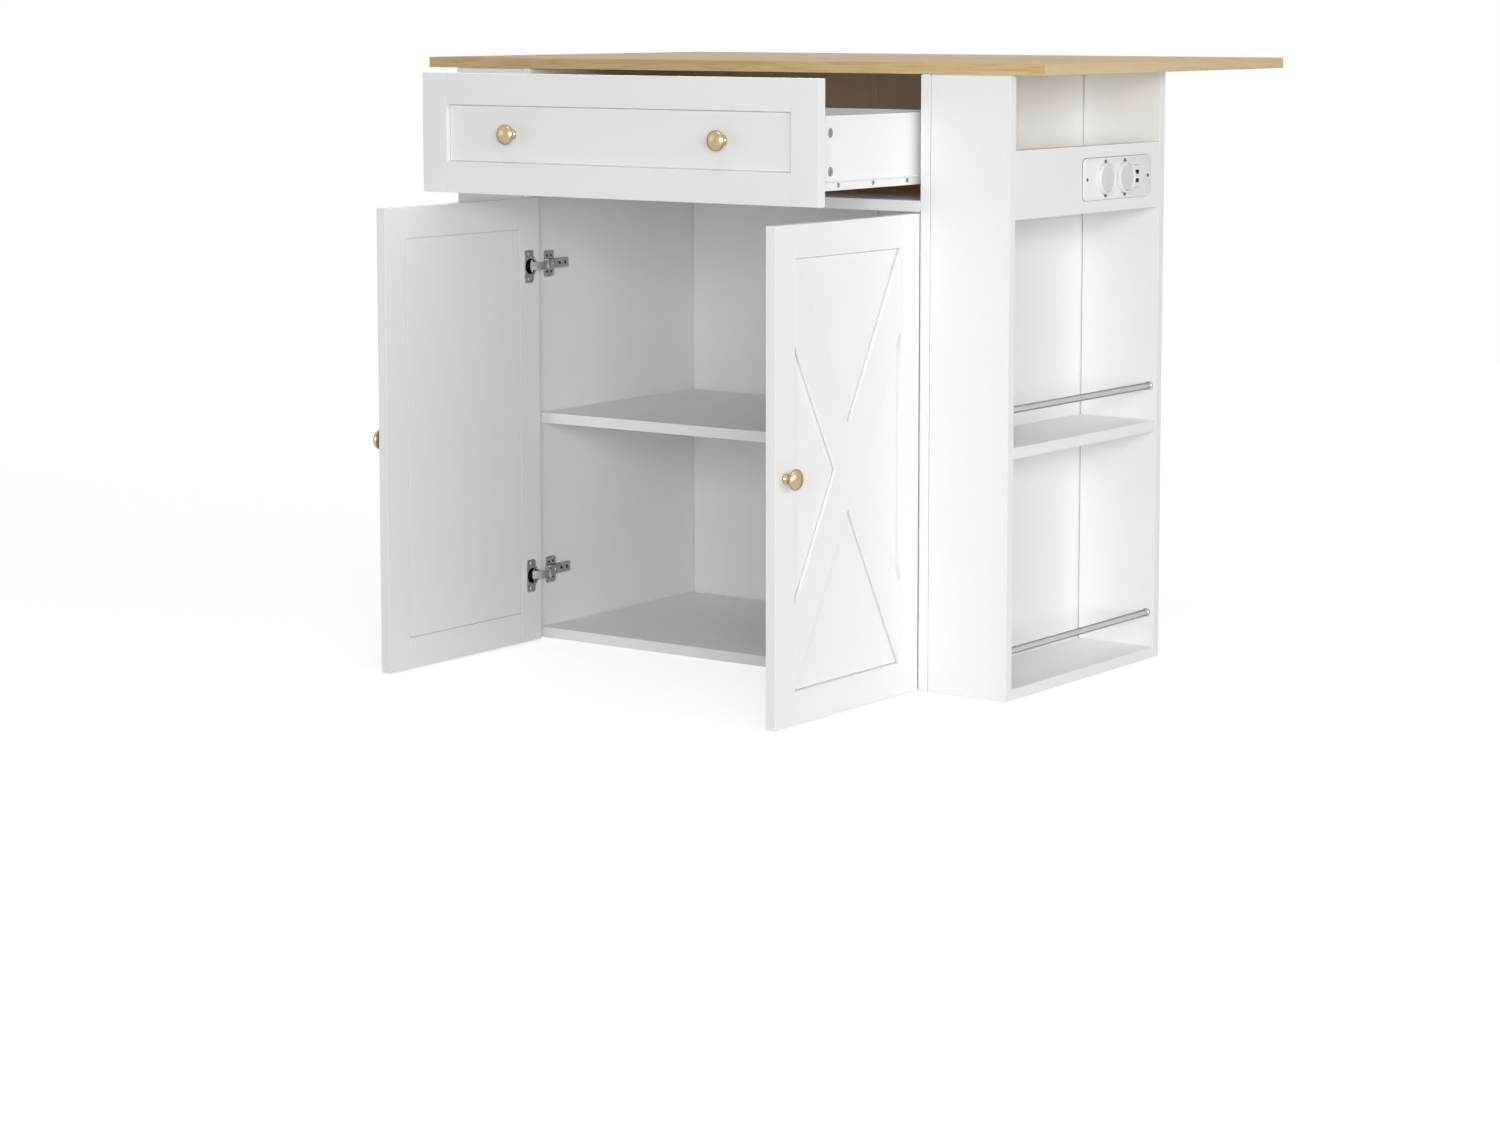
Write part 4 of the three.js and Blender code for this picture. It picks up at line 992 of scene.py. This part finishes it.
def build_hinge_screws(end, side):
    """Screws of the cups on the door, and of the arms and their plates on the cabinet's side."""
    cup_screws, arm_screws, arm_pins, plate_screws = [], [], [], []
    facing = Vector((-side, 0, 0))
    for level in LEVELS:
        low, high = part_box(f"hinge_cup_{level}_{end}")
        middle = (low.z + high.z) / 2
        inner = high.x if side < 0 else low.x
        back, up = CUP_SCREW_AT
        for way in (-1, 1):
            cup_screws.append((Vector((inner, low.y + back, middle + way * up)), facing))
        low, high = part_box(f"hinge_arm_{level}_{end}")
        rear = Vector((low.x if side < 0 else high.x, high.y, middle))
        for way in (-1, 1):
            for back in PLATE_SCREWS_BACK:
                at = rear + facing * PLATE_SCREW_LIFT + Vector((0, -back, way * PLATE_SCREW_UP))
                plate_screws.append((at, facing))
        back, lift = ARM_SCREW_AT
        arm_screws.append((rear + facing * lift - Vector((0, back, 0)), facing))
        for back, lift in ARM_PINS_AT:
            arm_pins.append((rear + facing * lift - Vector((0, back, 0)), facing))
    screws(f"hinge_cup_screws_{end}", cup_screws, f"door_{end}", CUP_SCREW)
    screws(f"hinge_arm_screws_{end}", arm_screws, "carcass", ARM_SCREW)
    screws(f"hinge_plate_screws_{end}", plate_screws, "carcass", PLATE_SCREW, BLACK_ZINC)
    screws(f"hinge_arm_pins_{end}", arm_pins, "carcass", ARM_PIN, BLACK_ZINC)


def build_runner_screws(end, side):
    """They hold the drawer runner to the drawer's side, through the runner's holes."""
    low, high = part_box(f"drawer_runner_{end}")
    side_low, side_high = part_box(f"drawer_side_{end}")
    x = (side_low.x if side < 0 else side_high.x) + side * RUNNER_SCREW_LIFT
    pitch = (high.y - low.y - 2 * RUNNER_SCREW_INSET) / (RUNNER_SCREWS - 1)
    along = [low.y + RUNNER_SCREW_INSET + k * pitch for k in range(RUNNER_SCREWS)]
    places = [((x, y, low.z + RUNNER_SCREW_UP), (side, 0, 0)) for y in along]
    screws(f"drawer_runner_screws_{end}", places, "drawer", RUNNER_SCREW, DULL_STEEL)


def build_bracket_screws(end, side):
    """Screws of the folding bracket's legs, on the apron and under the leaf."""
    low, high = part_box(f"leaf_bracket_wall_leg_{end}")
    x = low.x + BRACKET_SCREW_INSET if side < 0 else high.x - BRACKET_SCREW_INSET
    y, length = low.y + BRACKET_SCREW_LIFT, high.z - low.z - WALL_LEG_TIP
    places = [((x, y, low.z + share * length), (0, 1, 0)) for share in WALL_LEG_SCREWS]
    screws(f"leaf_bracket_wall_screws_{end}", places, "carcass", BRACKET_SCREW)
    low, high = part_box(f"leaf_bracket_shelf_leg_{end}")
    x = high.x - BRACKET_SCREW_INSET if side < 0 else low.x + BRACKET_SCREW_INSET
    z, length = high.z - BRACKET_SCREW_LIFT, high.y - low.y
    places = [((x, low.y + share * length, z), (0, 0, -1)) for share in SHELF_LEG_SCREWS]
    screws(f"leaf_bracket_shelf_screws_{end}", places, "leaf", BRACKET_SCREW)


for end_name, end_side in SIDES:
    build_door(end_name, end_side)
    build_knob(f"door_knob_{end_name}", f"door_{end_name}", (end_side, 0, 0))
    build_knob(f"drawer_knob_{end_name}", "drawer", (0, -1, 0))
    build_hinge_screws(end_name, end_side)
    build_runner_screws(end_name, end_side)
    build_bracket_screws(end_name, end_side)
    for rail_level in LEVELS:
        build_rail(f"rack_rail_{rail_level}_{end_name}")
build_boards()
build_drawer_front()
build_socket()

# ---- Floor, light and camera ----

FLOOR_DROP = 0.0005
FLOOR_REACH = 4.6
FLOOR_COLOUR = 0.66
FLOOR_UNEVEN = 0.01
FLOOR_LIFT = 0.635  # added for what sees the floor directly, so that it meets the white backdrop
WORLD_LIGHT = 0.22
AIM = (0.0, -0.05, 0.45)
# name, azimuth from the front towards the right, elevation, distance, width and height, light at the object
LAMPS = (
    ("key", 37, 8, 7.0, (4.2, 2.4), 0.52),
    ("right", 79, 14, 7.0, (4.5, 3.0), 0.24),
    ("left", -45, 10, 7.0, (4.0, 2.4), 0.04),
    ("rear", 205, 20, 7.0, (5.0, 3.0), 0.34),
    ("top", 20, 72, 7.0, (4.0, 4.0), 0.14),
)


def seen_directly(tree):
    """1 for camera, glossy and transmission rays, 0 for the light that falls on surfaces."""
    path = tree.nodes.new("ShaderNodeLightPath")
    largest = path.outputs["Is Camera Ray"]
    for other in ("Is Glossy Ray", "Is Transmission Ray"):
        both = tree.nodes.new("ShaderNodeMath")
        both.operation = "MAXIMUM"
        tree.links.new(largest, both.inputs[0])
        tree.links.new(path.outputs[other], both.inputs[1])
        largest = both.outputs[0]
    return largest


def build_floor():
    """A pale floor that fades into the white backdrop where the camera sees it."""
    bm = bmesh.new()
    bmesh.ops.create_circle(bm, cap_ends=True, segments=96, radius=FLOOR_REACH)
    bm.transform(Matrix.Translation((0, 0, -FLOOR_DROP)))
    mesh = bpy.data.meshes.new("floor")
    bm.to_mesh(mesh)
    bm.free()
    floor = bpy.data.objects.new("floor", mesh)
    bpy.context.scene.collection.objects.link(floor)
    finish = Finish("pale_floor", 0.9)
    tone = finish.noise(0.6, detail=2.0)
    dark, light = (FLOOR_COLOUR - FLOOR_UNEVEN,) * 3, (FLOOR_COLOUR + FLOOR_UNEVEN,) * 3
    finish.colour(finish.ramp(tone, (0.3, dark), (0.7, light)))
    finish.shader.inputs["Specular IOR Level"].default_value = 0.0
    finish.shader.inputs["Emission Color"].default_value = (1, 1, 1, 1)
    lift = finish.spread(seen_directly(finish.tree), 0.0, FLOOR_LIFT)
    finish.link(lift, finish.shader.inputs["Emission Strength"])
    mesh.materials.append(finish.material)


def build_world():
    """White to the camera, and a weak even light on the object."""
    world = bpy.data.worlds.new("studio")
    bpy.context.scene.world = world
    world.use_nodes = True
    tree = world.node_tree
    background = tree.nodes["Background"]
    background.inputs["Color"].default_value = (1, 1, 1, 1)
    level = tree.nodes.new("ShaderNodeMapRange")
    level.inputs["To Min"].default_value = WORLD_LIGHT
    level.inputs["To Max"].default_value = 1.0
    tree.links.new(seen_directly(tree), level.inputs["Value"])
    tree.links.new(level.outputs["Result"], background.inputs["Strength"])


def soft_lamp(name, azimuth, elevation, distance, size, light):
    """A softbox. Its light is what a white surface facing it would show."""
    turn, lift = math.radians(azimuth), math.radians(elevation)
    towards = Vector((math.sin(turn) * math.cos(lift), -math.cos(turn) * math.cos(lift), math.sin(lift)))
    data = bpy.data.lights.new(name, "AREA")
    data.shape = "RECTANGLE"
    data.size, data.size_y = size
    data.energy = light * (math.pi * distance) ** 2
    lamp = bpy.data.objects.new(name, data)
    bpy.context.scene.collection.objects.link(lamp)
    lamp.location = Vector(AIM) + towards * distance
    lamp.rotation_euler = (-towards).to_track_quat("-Z", "Y").to_euler()


CAMERA_PLACE = (3.044, -4.359, 0.984)
CAMERA_YAW = 35.806
CAMERA_PITCH = 6.227  # downwards
CAMERA_LENS = 83.53
CAMERA_SENSOR = 36.0
CAMERA_SHIFT = -0.12  # the photograph keeps its horizon at its upper edge


def build_camera():
    """The photograph's camera."""
    data = bpy.data.cameras.new("camera")
    data.lens = CAMERA_LENS
    data.sensor_width = CAMERA_SENSOR
    data.shift_y = CAMERA_SHIFT
    camera = bpy.data.objects.new("camera", data)
    bpy.context.scene.collection.objects.link(camera)
    camera.location = CAMERA_PLACE
    camera.rotation_euler = (math.radians(90 - CAMERA_PITCH), 0, math.radians(CAMERA_YAW))
    bpy.context.scene.camera = camera


build_floor()
build_world()
for lamp_row in LAMPS:
    soft_lamp(*lamp_row)
build_camera()
bpy.context.scene.view_settings.view_transform = "Standard"
